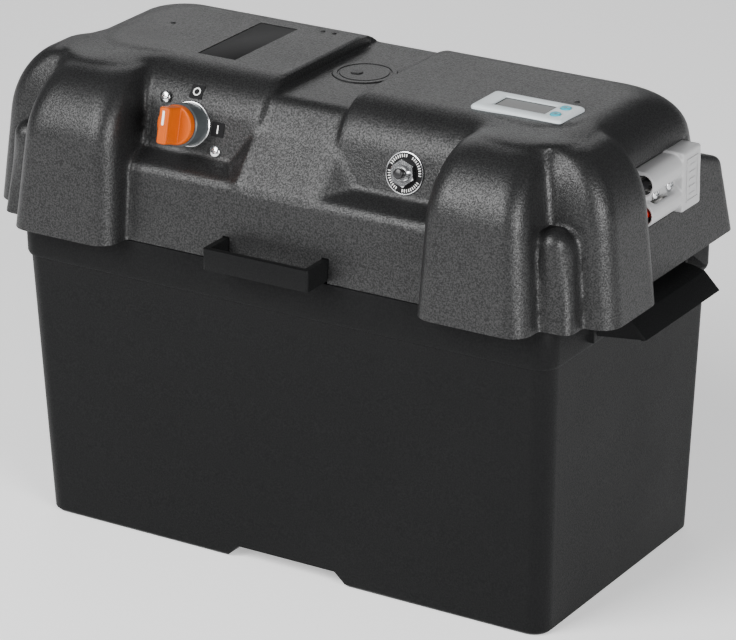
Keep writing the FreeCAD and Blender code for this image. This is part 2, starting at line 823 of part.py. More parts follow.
def moulding_mark():
    """A low round boss in the middle of the channel's floor, with a nub on it."""
    proud, floor = size("mark_proud"), size("channel_floor")
    disc = Part.makeCylinder(size("mark_radius"), 2 * proud, Vector(0, 0, floor - proud))
    nub = Part.makeCylinder(size("mark_nub_radius"), 3.4 * proud, Vector(-3.5, -3.0, floor - proud))
    return [disc, nub]


def lid_shell():
    wall, low = size("lid_wall"), size("lid_bottom")
    pad, room = switch_pad()
    ramp = strap_ramp()
    seats = [connector_seat(0), mirrored(connector_seat(0))]
    ribs = [buttress(low), mirrored(buttress(low))]
    outside = lid_form(0, low).fuse([ramp] + ribs)
    outside = outside.cut([channel(0)] + seats)
    inside = lid_form(wall, low - 1)
    inside = inside.cut([channel(wall), connector_seat(wall), mirrored(connector_seat(wall))])
    shell = outside.cut(inside).fuse(pad.common(outside)).cut([room, breaker_room()])
    right_holes = grommet_holes() + connector_screw_holes()
    holes = right_holes + [mirrored(hole) for hole in right_holes]
    holes += panel_holes() + [meter_cutout(), label_recess()] + loop_slots()
    feature("lid_shell", shell.cut(holes).fuse(moulding_mark()).removeSplitter())


def place(thing, frame):
    """Puts an object that was drawn about the origin into a frame of its own."""
    placed = group(thing.Name + "Placed", [thing])
    placed.Placement = frame
    return placed


# ---------------------------------------------------------------- blank rating plate


def rating_plate():
    plate = bound_box("PlateBlank", ("label_width", "label_length", "label_depth - 0.3"),
                      ("label_x", "label_y", "lid_top - label_depth / 2 - 0.15"))
    finish(plate, "rating_plate")


# ---------------------------------------------------------------- isolator switch


SCREW_PLACES = (("-screw_reach_x", "screw_reach_up"), ("screw_reach_x", "-screw_reach_up"))


def isolator_switch():
    frame = panel_placement(size("switch_x"), size("switch_up"))
    knob_start = "collar_height + knob_gap"

    disc = bound_cylinder("CollarDisc", "collar_radius", "collar_height", ("0", "0", "0"))
    neck = bound_cylinder("CollarNeck", "collar_radius - collar_neck_step", "switch_seat",
                          ("0", "0", "-switch_seat"))
    bore = bound_cylinder("CollarBore", "shaft_radius + 0.1", "collar_height + switch_seat + 2",
                          ("0", "0", "-switch_seat - 1"))
    collar = cut("Collar", fuse("CollarSolid", [disc, neck]), bore)
    ring_disc = bound_cylinder("RingDisc", "face_ring_radius", "face_ring_height", ("0", "0", "0"))
    ring_bore = bound_cylinder("RingBore", "collar_radius", "face_ring_height + 2", ("0", "0", "-1"))
    ring = cut("FaceRing", ring_disc, ring_bore)

    drum = bound_cylinder("SwitchDrum", "switch_body_radius", "switch_body_depth", ("0", "0", "switch_back"))
    ear_span = "2 * sqrt(screw_reach_x ^ 2 + screw_reach_up ^ 2)"
    across = bound_box("EarPlate", (ear_span, "2 * ear_radius", "ear_thickness"),
                       ("0", "0", "-switch_seat - ear_thickness / 2"))
    ear_plate = group("EarPlateTurned", [across])
    turn = -math.degrees(math.atan2(size("screw_reach_up"), size("screw_reach_x")))
    ear_plate.Placement.Rotation = FreeCAD.Rotation(Vector(0, 0, 1), turn)
    ears, ear_bores = [ear_plate], []
    start = "-switch_seat - ear_thickness"
    for number, (x, y) in enumerate(SCREW_PLACES):
        ears.append(bound_cylinder(f"Ear{number}", "ear_radius", "ear_thickness", (x, y, start)))
        bore_place = (x, y, start + " - 1")
        ear_bores.append(bound_cylinder(f"EarBore{number}", "screw_radius", "ear_thickness + 2", bore_place))
    shaft_room = bound_cylinder("SwitchShaftRoom", "shaft_radius + 0.1", "shaft_bite + 2",
                                ("0", "0", "-switch_seat - shaft_bite - 1"))
    body = cut("SwitchBody", fuse("SwitchSolid", [drum] + ears), fuse("SwitchRoom", [shaft_room] + ear_bores))

    shaft_length = "switch_seat + shaft_bite + collar_height + knob_gap + 1"
    shaft = bound_cylinder("SwitchShaft", "shaft_radius", shaft_length, ("0", "0", "-switch_seat - shaft_bite"))
    skirt_disc = bound_cylinder("KnobSkirt", "knob_radius", "knob_skirt", ("0", "0", knob_start))
    bar = bound_box("KnobBar", ("knob_bar_width", "knob_bar_length", "knob_bar_height + 1"),
                    ("0", "0", "knob_top - knob_bar_height / 2 - 0.5"))
    skirt_top = size("knob_top") - size("knob_bar_height")
    bar_round = round_edges("KnobBarRound", bar, 1.6, lambda e: e.CenterOfMass.z > skirt_top)
    socket = bound_cylinder("KnobSocket", "shaft_radius", "1", ("0", "0", knob_start))
    inlay = ("1.6", "8", "0.6"), ("0", "knob_bar_length / 2 - 6.5", "knob_top - 0.3")
    room = fuse("KnobRoom", [socket, bound_box("Inlay", *inlay)])
    knob = cut("Knob", fuse("KnobSolid", [skirt_disc, bar_round]), room)
    pointer = bound_box("Pointer", *inlay)

    for thing, label in ((collar, "isolator_collar"), (ring, "isolator_face_ring"), (body, "isolator_body"),
                         (shaft, "isolator_shaft"), (knob, "isolator_knob"), (pointer, "isolator_pointer")):
        finish(place(thing, frame), label)


def isolator_fixings():
    """Two pan screws through the panel, their nuts, and the two terminal studs with nuts."""
    frame = panel_placement(size("switch_x"), size("switch_up"))
    screws, nuts = [], []
    under = "-switch_seat - ear_thickness"
    for number, (x, y) in enumerate(SCREW_PLACES):
        head = bound_cylinder(f"ScrewHead{number}", "screw_head_radius", "screw_head_height", (x, y, "0"))
        stem = bound_cylinder(f"ScrewStem{number}", "screw_radius", "switch_seat + ear_thickness + screw_end",
                              (x, y, under + " - screw_end"))
        slot = bound_box(f"ScrewSlot{number}", ("5", "1", "1"), (x, y, "screw_head_height"))
        screws.append(cut(f"Screw{number}", fuse(f"ScrewSolid{number}", [head, stem]), slot))
        nut = bound_prism(f"Nut{number}", 6, "screw_nut_across", "screw_nut_height",
                          (x, y, under + " - screw_nut_height"))
        bore = bound_cylinder(f"NutBore{number}", "screw_radius", "screw_nut_height + 2",
                              (x, y, under + " - screw_nut_height - 1"))
        nuts.append(cut(f"NutCut{number}", nut, bore))
    finish(place(group("IsolatorScrews", screws), frame), "isolator_screws")
    finish(place(group("IsolatorScrewNuts", nuts), frame), "isolator_screw_nuts")

    studs, stud_nuts = [], []
    for number, sign in enumerate(("-", "")):
        x = f"{sign}stud_spacing / 2"
        stud_place = (x, "0", "switch_back - stud_length")
        studs.append(bound_cylinder(f"Stud{number}", "stud_radius", "stud_length", stud_place))
        nut = bound_prism(f"StudNut{number}", 6, "stud_nut_across", "stud_nut_height",
                          (x, "0", "switch_back - clamp_side - stud_nut_height"))
        bore = bound_cylinder(f"StudNutBore{number}", "stud_radius", "stud_nut_height + 2",
                              (x, "0", "switch_back - clamp_side - stud_nut_height - 1"))
        stud_nuts.append(cut(f"StudNutCut{number}", nut, bore))
    finish(place(group("IsolatorStuds", studs), frame), "isolator_studs")
    finish(place(group("IsolatorStudNuts", stud_nuts), frame), "isolator_stud_nuts")

    block = bound_box("LugBlock", ("clamp_side + 4", "clamp_side + 4", "clamp_side"),
                      ("stud_spacing / 2", "0", "switch_back - clamp_side / 2"))
    hole = bound_cylinder("LugHole", "stud_radius", "clamp_side + 2",
                          ("stud_spacing / 2", "0", "switch_back - clamp_side - 1"))
    finish(place(cut("IsolatorLug", block, hole), frame), "isolator_lug")


def position_plates():
    """Two small square plates that mark the knob's off and on positions."""
    side = bound_box("OnPlate", ("plate_side", "plate_side", "plate_thickness"),
                     ("on_plate_distance", "0", "plate_thickness / 2"))
    finish(place(side, panel_placement(size("switch_x"), size("switch_up"))), "on_plate")
    axis, height = panel_round_centre(size("panel_foot_half_width"))
    angle, radius = math.radians(size("off_plate_angle")), size("shoulder_round")
    spot = Vector(size("switch_x"), -axis - radius * math.cos(angle), height + radius * math.sin(angle))
    high = bound_box("OffPlate", ("plate_side", "plate_side", "plate_thickness"),
                     ("0", "0", "plate_thickness / 2"))
    tilt = FreeCAD.Rotation(Vector(1, 0, 0), 90 - size("off_plate_angle"))
    finish(place(high, FreeCAD.Placement(spot, tilt)), "off_plate")


# ---------------------------------------------------------------- circuit breaker


def circuit_breaker():
    frame = panel_placement(size("breaker_x"), size("breaker_up"))
    plate_disc = bound_cylinder("BreakerPlateDisc", "breaker_plate_radius", "breaker_plate_thickness",
                                ("0", "0", "0"))
    plate_bore = bound_cylinder("BreakerPlateBore", "bushing_radius", "4", ("0", "0", "-1"))
    plate = cut("BreakerPlate", plate_disc, plate_bore)
    nut_blank = bound_prism("BreakerNutBlank", 6, "breaker_nut_across * 2 / sqrt(3)", "breaker_nut_height",
                            ("0", "0", "breaker_plate_thickness"))
    nut_bore = bound_cylinder("BreakerNutBore", "bushing_radius", "8", ("0", "0", "0"))
    nut = cut("BreakerNut", nut_blank, nut_bore)
    neck = bound_cylinder("BushingNeck", "bushing_radius", "breaker_seat + bushing_rise",
                          ("0", "0", "-breaker_seat"))
    neck_bore = bound_cylinder("BushingBore", "button_radius + 0.1", "breaker_seat + bushing_rise + 2",
                               ("0", "0", "-breaker_seat - 1"))
    bushing = cut("BreakerBushing", neck, neck_bore)
    washer_disc = bound_cylinder("BreakerWasherDisc", "bushing_radius + washer_rim", "washer_thickness",
                                 ("0", "0", "-breaker_seat"))
    washer_bore = bound_cylinder("BreakerWasherBore", "bushing_radius", "8", ("0", "0", "-breaker_seat - 2"))
    washer = cut("BreakerWasher", washer_disc, washer_bore)
    button = bound_cylinder("BreakerButton", "button_radius",
                            "breaker_seat + button_bite + bushing_rise + button_rise",
                            ("0", "0", "-breaker_seat - button_bite"))
    case = bound_box("BreakerCase", ("breaker_width", "breaker_length", "breaker_depth"),
                     ("0", "0", "-breaker_seat - breaker_depth / 2"))
    room = bound_cylinder("BreakerRoom", "button_radius + 0.1", "2 * button_bite",
                          ("0", "0", "-breaker_seat - 2 * button_bite + 0.5"))
    body = cut("BreakerBody", case, room)
    clamps = []
    for number, sign in enumerate(("", "-")):
        clamps.append(bound_box(f"BreakerClamp{number}", ("clamp_side + 3", "clamp_side", "clamp_side"),
                                ("0", f"{sign}breaker_pole_spacing / 2", "breaker_back - clamp_side / 2")))
    for thing, label in ((plate, "breaker_nameplate"), (nut, "breaker_nut"), (bushing, "breaker_bushing"),
                         (washer, "breaker_lock_washer"), (button, "breaker_button"), (body, "breaker_body"),
                         (group("BreakerClamps", clamps), "breaker_clamps")):
        finish(place(thing, frame), label)


# ---------------------------------------------------------------- meter


def meter():
    bezel = bound_box("BezelBlank", ("meter_length", "meter_width", "meter_rise"),
                      ("meter_x", "meter_y", "lid_top + meter_rise / 2"))
    bezel = round_edges("BezelRound", bezel, 1.2, lambda e: e.CenterOfMass.z > size("lid_top") + 0.1)
    holes = [bound_box("BezelWindow", ("window_length", "window_width", "meter_rise + 2"),
                       ("meter_x + window_x", "meter_y", "lid_top + meter_rise / 2"))]
    for number, sign in enumerate(("+", "-")):
        key_place = ("meter_x + meter_button_x", f"meter_y {sign} meter_button_y", "lid_top - 1")
        hole_radius = "meter_button_radius + 0.25"
        holes.append(bound_cylinder(f"BezelHole{number}", hole_radius, "meter_rise + 2", key_place))
    finish(cut("MeterBezel", bezel, fuse("BezelHoles", holes)), "meter_bezel")
    window = bound_box("MeterWindow", ("window_length", "window_width", "meter_rise - window_sink"),
                       ("meter_x + window_x", "meter_y", "lid_top + (meter_rise - window_sink) / 2"))
    finish(window, "meter_window")

    case = bound_box("MeterCase", ("meter_body_length", "meter_body_width", "meter_body_depth"),
                     ("meter_x", "meter_y", "lid_top - meter_body_depth / 2"))
    inside = "meter_body_length - 2 * meter_body_wall", "meter_body_width - 2 * meter_body_wall"
    room = bound_box("MeterRoom", (*inside, "meter_body_depth"),
                     ("meter_x", "meter_y", "lid_top - meter_body_depth / 2 + meter_body_wall"))
    finish(cut("MeterBody", case, room), "meter_body")
    board = bound_box("MeterBoard", (inside[0] + " - 0.4", inside[1] + " - 0.4", "board_thickness"),
                      ("meter_x", "meter_y", "lid_top - board_depth"))
    finish(board, "meter_board")
    cell = bound_box("MeterCell", ("window_length + 2", "window_width + 2", "2.4"),
                     ("meter_x + window_x", "meter_y", "lid_top - 1.4"))
    finish(cell, "meter_display_cell")


def meter_keys():
    """Two keys, each a cap in the bezel on a stem that stops just above its switch on the board."""
    cap_low = "lid_top + meter_button_travel + 0.1"
    stem_low = "lid_top - board_depth + board_thickness / 2 + meter_button_travel + 0.2"
    for sign, label in (("+", "meter_button_upper"), ("-", "meter_button_lower")):
        x, y = "meter_x + meter_button_x", f"meter_y {sign} meter_button_y"
        cap = bound_cylinder(label + "_cap", "meter_button_radius",
                             "meter_rise + meter_button_rise - meter_button_travel - 0.1", (x, y, cap_low))
        stem_length = f"({cap_low}) - ({stem_low}) + 1"
        stem = bound_cylinder(label + "_stem", "meter_button_stem", stem_length, (x, y, stem_low))
        finish(fuse(label + "_key", [cap, stem]), label)


# ---------------------------------------------------------------- end connectors


def connector_housing():
    inner, web = size("connector_inner"), size("connector_web")
    outer = size("pole_x") * 2 - inner
    front, back, block = size("connector_front"), size("connector_back"), size("connector_block")
    low, high = size("connector_low"), size("connector_low") + size("connector_height")
    x, barrel, join = size("pole_x"), size("barrel_height") / 2, 1.0
    body = slab(inner, outer, back - block, back, low, high)
    for pole in pole_heights():
        body = body.fuse(slab(inner, outer, front, back - block + join, pole - barrel, pole + barrel))
    body = body.fuse(slab(inner, inner + web, front, back - block + join, low + 4, high - 4)).removeSplitter()
    mouth_x, mouth_z = size("mouth_width") / 2, size("mouth_height") / 2
    gap = size("fit_gap")
    slot_x, slot_z = size("tongue_thickness") / 2 + gap, size("tongue_height") / 2 + gap
    for pole in pole_heights():
        start = Vector(x, front - join, pole)
        rear = Part.makeCylinder(size("barrel_bore"), size("contact_crimp") + 5, start, AXES["y"])
        floor = back - size("mouth_depth")
        mouth = slab(x - mouth_x, x + mouth_x, floor, back + join, pole - mouth_z, pole + mouth_z)
        slot = slab(x - slot_x, x + slot_x, front + 10, back - 5, pole - slot_z, pole + slot_z)
        body = body.cut([rear, mouth, slot])
    for y in connector_screw_spots():
        centre = size("connector_middle")
        hole = Part.makeCylinder(size("screw_radius") + 0.1, 30, Vector(inner - 1, y, centre), AXES["x"])
        head_start = Vector(inner + web, y, centre)
        head_room = Part.makeCylinder(size("screw_head_radius") + 0.8, 30, head_start, AXES["x"])
        body = body.cut([hole, head_room])
    return body


def connector_contacts():
    front, back, x = size("connector_front"), size("connector_back"), size("pole_x")
    half_thick, half_high = size("tongue_thickness") / 2, size("tongue_height") / 2
    solids = []
    for pole in pole_heights():
        start = Vector(x, front + 4, pole)
        barrel = Part.makeCylinder(size("contact_radius"), size("contact_crimp"), start, AXES["y"])
        bore = Part.makeCylinder(size("lead_radius") + 0.1, 15, Vector(x, front + 3, pole), AXES["y"])
        low, high = pole - half_high, pole + half_high
        tongue = slab(x - half_thick, x + half_thick, front + 20, back - 6, low, high)
        solids.append(barrel.cut(bore).fuse(tongue))
    return Part.makeCompound(solids)


def connector_screw(y):
    face, middle, head_height = size("connector_inner") + size("connector_web"), size("connector_middle"), 2.4
    start, long, thin = face - size("connector_web") - 9, 2.6, 0.5
    head = Part.makeCylinder(size("screw_head_radius") + 0.2, head_height, Vector(face, y, middle), AXES["x"])
    stem = Part.makeCylinder(size("screw_radius"), face - start, Vector(start, y, middle), AXES["x"])
    cross = [slab(face + 1.4, face + 3, y - a, y + a, middle - b, middle + b)
             for a, b in ((long, thin), (thin, long))]
    return head.fuse(stem).cut(cross)


def connector_nut(y):
    middle, height, radius = size("connector_middle"), size("screw_nut_height"), size("screw_nut_across") / 2
    start = size("connector_inner") - 0.1 - size("lid_wall") - height
    turns = [math.radians(60 * n) for n in range(7)]
    corners = [Vector(start, y + radius * math.cos(a), middle + radius * math.sin(a)) for a in turns]
    blank = Part.Face(Part.makePolygon(corners)).extrude(Vector(height, 0, 0))
    bore_start = Vector(start - 2, y, middle)
    return blank.cut(Part.makeCylinder(size("screw_radius"), height + 4, bore_start, AXES["x"]))


def grommets():
    back, wall, x = -size("bulge_end_back"), size("lid_wall"), size("pole_x")
    outside, flange = size("grommet_radius"), size("grommet_flange")
    rings = []
    for pole in pole_heights():
        outer = Part.makeCylinder(outside, flange, Vector(x, back, pole), AXES["y"])
        neck_start = Vector(x, back - wall - 1, pole)
        neck = Part.makeCylinder(outside - flange - 0.1, wall + 1, neck_start, AXES["y"])
        bore = Part.makeCylinder(size("lead_radius") + 0.05, 20, Vector(x, back - 10, pole), AXES["y"])
        rings.append(outer.fuse(neck).cut(bore))
    return Part.makeCompound(rings)


def end_connectors():
    screws = Part.makeCompound([connector_screw(y) for y in connector_screw_spots()])
    nuts = Part.makeCompound([connector_nut(y) for y in connector_screw_spots()])
    kinds = (("connector_housing", connector_housing()), ("connector_contacts", connector_contacts()),
             ("connector_screws", screws), ("connector_nuts", nuts), ("lead_grommets", grommets()))
    for kind, shape in kinds:
        feature("right_" + kind, shape)
        feature("left_" + kind, mirrored(shape))


# ---------------------------------------------------------------- negative post and leads


def negative_post():
    clamp_top = "post_top - post_height"
    base = bound_cylinder("PostBase", "post_radius", "post_height", ("0", "post_y", clamp_top))
    finish(base, "negative_post_base")
    stud = bound_cylinder("PostStud", "stud_radius", "post_stud_length",
                          ("0", "post_y", clamp_top + " - post_stud_length"))
    finish(stud, "negative_post_stud")
    block = bound_box("PostClamp", ("post_clamp_length", "post_clamp_width", "clamp_side"),
                      ("0", "post_y", clamp_top + " - clamp_side / 2"))
    hole = bound_cylinder("PostClampHole", "stud_radius", "clamp_side + 2",
                          ("0", "post_y", clamp_top + " - clamp_side - 1"))
    finish(cut("PostClampCut", block, hole), "negative_clamp")
    nut = bound_prism("PostNut", 6, "stud_nut_across", "stud_nut_height",
                      ("0", "post_y", clamp_top + " - clamp_side - stud_nut_height"))
    bore = bound_cylinder("PostNutBore", "stud_radius", "stud_nut_height + 2",
                          ("0", "post_y", clamp_top + " - clamp_side - stud_nut_height - 1"))
    finish(cut("PostNutCut", nut, bore), "negative_post_nut")


def lead(label, points):
    """A lead of straight runs joined by tangent arcs."""
    spots = [Vector(*point) for point in points]
    edges, start = [], spots[0]
    for before, here, after in zip(spots, spots[1:], spots[2:]):
        into, out = (here - before).normalize(), (after - here).normalize()
        turn = into.getAngle(out)
        run = 0.45 * min((here - before).Length, (after - here).Length)
        radius = run / math.tan(turn / 2)
        begin, end = here - into * run, here + out * run
        inward = (out - into).normalize()
        middle = here + inward * (radius / math.cos(turn / 2) - radius)
        edges += [Part.makeLine(start, begin), Part.Arc(begin, middle, end).toShape()]
        start = end
    edges.append(Part.makeLine(start, spots[-1]))
    path = Part.Wire(edges)
    ring = Part.Wire(Part.makeCircle(size("lead_radius"), spots[0], spots[1] - spots[0]))
    print(label, "length", round(path.Length, 1))
    feature(label, path.makePipeShell([ring], True, True))


def end_run(height, outward):
    """The run of a right-hand lead from its contact, through its grommet, into the bulge."""
    x, start = size("pole_x"), size("connector_front") + 14
    bulge = -size("bulge_end_back")
    if outward:
        return [(x, start, height), (x, bulge - 17, height), (x - 8, bulge - 34, height - 3)]
    return [(x, start, height), (x, bulge - 17, height), (x - 12, bulge - 32, height - 1)]


def other_end(points):
    """The same points at the left end."""
    return [(-x, y, z) for x, y, z in points]


def leads():
    """Every lead that the lid holds from end to end."""
    low, high = pole_heights()
    x, front = size("pole_x"), size("connector_front")
    breaker = panel_placement(size("breaker_x"), size("breaker_up"))
    switch = panel_placement(size("switch_x"), size("switch_up"))
    clamp_middle, pole = size("breaker_back") - size("clamp_side") / 2, size("breaker_pole_spacing") / 2
    load = breaker.multVec(Vector(0, -pole, clamp_middle))
    line = breaker.multVec(Vector(0, pole, clamp_middle))
    side = (size("clamp_side") + 3) / 2
    lug = switch.multVec(Vector(size("stud_spacing") / 2, 0, size("switch_back") - size("clamp_side") / 2))
    lug_side = (size("clamp_side") + 4) / 2
    post_y, post_z = size("post_y"), size("post_top") - size("post_height") - size("clamp_side") / 2
    post_side = size("post_clamp_length") / 2

    red_end, black_end = end_run(low, True), end_run(high, False)
    lead("right_red_lead", red_end + [
        (x - 34, front - 50, low - 5), (load.x + 52, load.y - 10, load.z - 1),
        (load.x + 26, load.y, load.z), (load.x + side, load.y, load.z)])
    lead("left_red_lead", other_end(red_end) + [
        (34 - x, front - 50, low - 5), (-110, load.y + 2, load.z - 14), (-62, load.y + 12, load.z - 14),
        (-8, load.y + 12, load.z - 10), (load.x - 36, load.y + 4, load.z - 3),
        (load.x - 18, load.y, load.z), (load.x - side, load.y, load.z)])
    lead("link_lead", [
        (lug.x + lug_side, lug.y, lug.z), (lug.x + lug_side + 24, lug.y, lug.z),
        (lug.x + 62, lug.y + 8, (lug.z + line.z) / 2), (line.x - 40, line.y + 4, line.z),
        (line.x - 20, line.y, line.z), (line.x - side, line.y, line.z)])
    black = black_end + [
        (x - 42, front - 29, high), (x - 76, post_y - 26, post_z + 1), (96, post_y, post_z),
        (52, post_y + 4, post_z), (24, post_y, post_z), (post_side, post_y, post_z)]
    lead("right_black_lead", black)
    lead("left_black_lead", other_end(black))


# ---------------------------------------------------------------- build and write

base_case()
lid_shell()
rating_plate()
isolator_switch()
isolator_fixings()
position_plates()
circuit_breaker()
meter()
meter_keys()
end_connectors()
negative_post()
leads()
document.recompute()

for thing in document.Objects:
    if "Invalid" in thing.State or "Error" in thing.State:
        raise RuntimeError(f"{thing.Name} did not build: {thing.State}")

os.makedirs("parts", exist_ok=True)
for piece in pieces:
    if piece.Shape.isNull() or not piece.Shape.isValid():
        raise RuntimeError(f"{piece.Label} has no valid shape")
    print(piece.Label, "solids", len(piece.Shape.Solids), "volume", round(piece.Shape.Volume))
    piece.Shape.exportStep(os.path.join("parts", piece.Label + ".step"))
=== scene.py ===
import math

import bmesh
import bpy
import numpy as np
from mathutils import Matrix, Vector


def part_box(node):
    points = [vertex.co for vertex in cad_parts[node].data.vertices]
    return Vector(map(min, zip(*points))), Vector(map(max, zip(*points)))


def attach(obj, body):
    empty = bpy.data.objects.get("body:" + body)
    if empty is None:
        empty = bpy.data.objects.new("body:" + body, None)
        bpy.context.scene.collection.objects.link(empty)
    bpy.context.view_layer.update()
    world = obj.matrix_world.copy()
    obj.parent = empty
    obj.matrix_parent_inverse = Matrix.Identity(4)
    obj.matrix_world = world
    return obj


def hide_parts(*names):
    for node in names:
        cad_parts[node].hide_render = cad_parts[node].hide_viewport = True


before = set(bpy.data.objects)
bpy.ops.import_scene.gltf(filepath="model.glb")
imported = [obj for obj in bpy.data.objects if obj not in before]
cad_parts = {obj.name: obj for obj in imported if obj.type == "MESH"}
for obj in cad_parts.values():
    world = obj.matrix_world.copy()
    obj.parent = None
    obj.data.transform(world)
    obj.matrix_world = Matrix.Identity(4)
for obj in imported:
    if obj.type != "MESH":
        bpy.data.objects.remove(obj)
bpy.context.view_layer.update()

# Everything below is in metres; MM turns a maker's millimetres into them.
MM = 0.001

# -------------------- camera, light and floor
# A long lens from the front right and a little above. Soft panels stand to the front left, to the
# right and far behind, and a pale floor runs out to the horizon under a brighter backdrop.

square = ((-1, -1), (1, -1), (1, 1), (-1, 1))
view_azimuth, view_elevation, view_roll = math.radians(32.09), math.radians(21.83), math.radians(-0.43)
view_distance = 2.42307
view_target = Vector((0, 0, 0.140))


def in_scene(name, data):
    """An object in the scene that holds a mesh, a light or a camera."""
    thing = bpy.data.objects.new(name, data)
    bpy.context.scene.collection.objects.link(thing)
    return thing


def set_inputs(node, **values):
    """Sets inputs of a node. An underscore in a name stands for a space."""
    for label, value in values.items():
        node.inputs[label.replace("_", " ")].default_value = value
    return node


def wire(tree, *runs):
    """Joins nodes in a tree. Each run is a node and its output, then a node and its input."""
    for source, output, target, socket in runs:
        tree.links.new(source.outputs[output], target.inputs[socket])


def bearing_to(azimuth, elevation):
    """The way from the box towards a bearing and a height, in radians."""
    return Vector((math.sin(azimuth) * math.cos(elevation), -math.cos(azimuth) * math.cos(elevation),
                   math.sin(elevation)))


backwards = bearing_to(view_azimuth, view_elevation)
level_right = Vector((math.cos(view_azimuth), math.sin(view_azimuth), 0))
upright = backwards.cross(level_right)
camera_right = math.cos(view_roll) * level_right + math.sin(view_roll) * upright
camera_up = math.cos(view_roll) * upright - math.sin(view_roll) * level_right

camera_data = bpy.data.cameras.new("camera")
camera_data.sensor_width = 36.0
camera_data.lens = 197.14
camera_data.shift_x = 0.0021
camera_data.shift_y = -0.0211
camera_data.clip_end = 50.0
camera = in_scene("camera", camera_data)
camera_spot = view_target + backwards * view_distance
camera.matrix_world = Matrix((*zip(camera_right, camera_up, backwards, camera_spot), (0, 0, 0, 1)))
bpy.context.scene.camera = camera


def soft_light(name, azimuth, elevation, distance, width, height_up, power):
    """A studio panel that faces the box from a bearing and a height, in degrees."""
    towards = bearing_to(math.radians(azimuth), math.radians(elevation))
    panel = bpy.data.lights.new(name, "AREA")
    panel.shape = "RECTANGLE"
    panel.size = width
    panel.size_y = height_up
    panel.energy = power
    lamp = in_scene(name, panel)
    lamp.location = view_target + towards * distance
    lamp.rotation_euler = (-towards).to_track_quat("-Z", "Y").to_euler()


soft_light("left_panel", -22, 35, 2.2, 1.4, 1.4, 74)
soft_light("right_panel", 62, 16, 2.2, 1.0, 1.0, 54)
soft_light("top_panel", -148, 27, 2.4, 1.4, 0.8, 7)

world = bpy.data.worlds.new("studio")
world.use_nodes = True
studio = world.node_tree
backdrop = set_inputs(studio.nodes["Background"], Color=(0.96, 0.97, 1.0, 1), Strength=0.16)
seen_backdrop = set_inputs(studio.nodes.new("ShaderNodeBackground"), Color=(1, 1, 1, 1), Strength=2.2)
ray, either = studio.nodes.new("ShaderNodeLightPath"), studio.nodes.new("ShaderNodeMixShader")
wire(studio, (ray, "Is Camera Ray", either, "Fac"), (backdrop, 0, either, 1), (seen_backdrop, 0, either, 2),
     (either, 0, studio.nodes["World Output"], "Surface"))
bpy.context.scene.world = world

floor_half = 9
floor_mesh = bpy.data.meshes.new("floor")
floor_mesh.from_pydata([(x * floor_half, y * floor_half, 0) for x, y in square], [], [(0, 1, 2, 3)])
floor = in_scene("floor", floor_mesh)
floor_finish = bpy.data.materials.new("floor_finish")
floor_finish.use_nodes = True
set_inputs(floor_finish.node_tree.nodes["Principled BSDF"], Base_Color=(0.9, 0.9, 0.9, 1), Roughness=0.7,
           Specular_IOR_Level=0.2, Emission_Color=(1, 1, 1, 1), Emission_Strength=0.45)
floor_mesh.materials.append(floor_finish)

# -------------------- case
# One injection moulding in black polypropylene, drafted to leave its tool: walls, a proud band
# round the mouth, two feet, a strap loop front and back, and a grip at each end.


def new_finish(name):
    """A material to fill in: itself, its tree, its shader and the piece's own coordinates."""
    finish = bpy.data.materials.new(name)
    finish.use_nodes = True
    tree = finish.node_tree
    return finish, tree, tree.nodes["Principled BSDF"], tree.nodes.new("ShaderNodeTexCoord")


def speckle(tree, place, scale, detail):
    """A noise pattern that stays with the piece."""
    pattern = set_inputs(tree.nodes.new("ShaderNodeTexNoise"), Scale=scale, Detail=detail)
    wire(tree, (place, "Object", pattern, "Vector"))
    return pattern


def drift_value(tree, pattern, shader, socket, low, high, **span):
    """Lets a pattern carry one of the shader's values between two limits."""
    limits = set_inputs(tree.nodes.new("ShaderNodeMapRange"), To_Min=low, To_Max=high, **span)
    wire(tree, (pattern, "Fac", limits, "Value"), (limits, "Result", shader, socket))


def drift_colour(tree, pattern, shader, dark, light):
    """Lets a pattern carry the colour between two tints."""
    tint = tree.nodes.new("ShaderNodeMix")
    tint.data_type = "RGBA"
    set_inputs(tint, A=(*dark, 1), B=(*light, 1))
    wire(tree, (pattern, "Fac", tint, "Factor"), (tint, "Result", shader, "Base Color"))


def raise_grain(tree, pattern, shader, strength, distance):
    """Lets a pattern stand up from the surface."""
    relief = set_inputs(tree.nodes.new("ShaderNodeBump"), Strength=strength, Distance=distance)
    wire(tree, (pattern, "Fac", relief, "Height"), (relief, "Normal", shader, "Normal"))


def moulded_plastic(name, colour, roughness, grain, depth, specular=0.5, mottle=0.12, sparkle=0.1):
    """Moulded plastic. grain is the size of the tool's texture in metres and depth its bump strength;
    mottle is how much the colour drifts and sparkle how much the grain's tips glint."""
    finish, tree, shader, place = new_finish(name)
    patch = 0.05
    cloudy = speckle(tree, place, 26.0, 4.0)
    drift_colour(tree, cloudy, shader, [c * (1 - mottle) for c in colour], [c * (1 + mottle) for c in colour])
    drift_value(tree, cloudy, shader, "Roughness", roughness - patch, roughness + patch)
    pebbles = set_inputs(speckle(tree, place, 1.0 / grain, 2.5), Roughness=0.6)
    raise_grain(tree, pebbles, shader, depth, grain * 0.35)
    drift_value(tree, pebbles, shader, "Specular IOR Level", specular * (1 - sparkle),
                specular * (1 + sparkle), From_Min=0.4, From_Max=0.62)
    return finish


def piece(name, mesh, finish, body, slot, *nodes):
    """Puts a finished mesh on a body, in place of the CAD nodes that it stands for."""
    made = in_scene(name, mesh)
    mesh.materials.clear()
    mesh.materials.append(finish)
    if nodes:
        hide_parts(*nodes)
    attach(made, body)
    return made


def shade(mesh, degrees=32.0):
    """Smooth shading that stays crisp across edges sharper than an angle."""
    mesh.shade_smooth()
    mesh.set_sharp_from_angle(angle=math.radians(degrees))
    return mesh


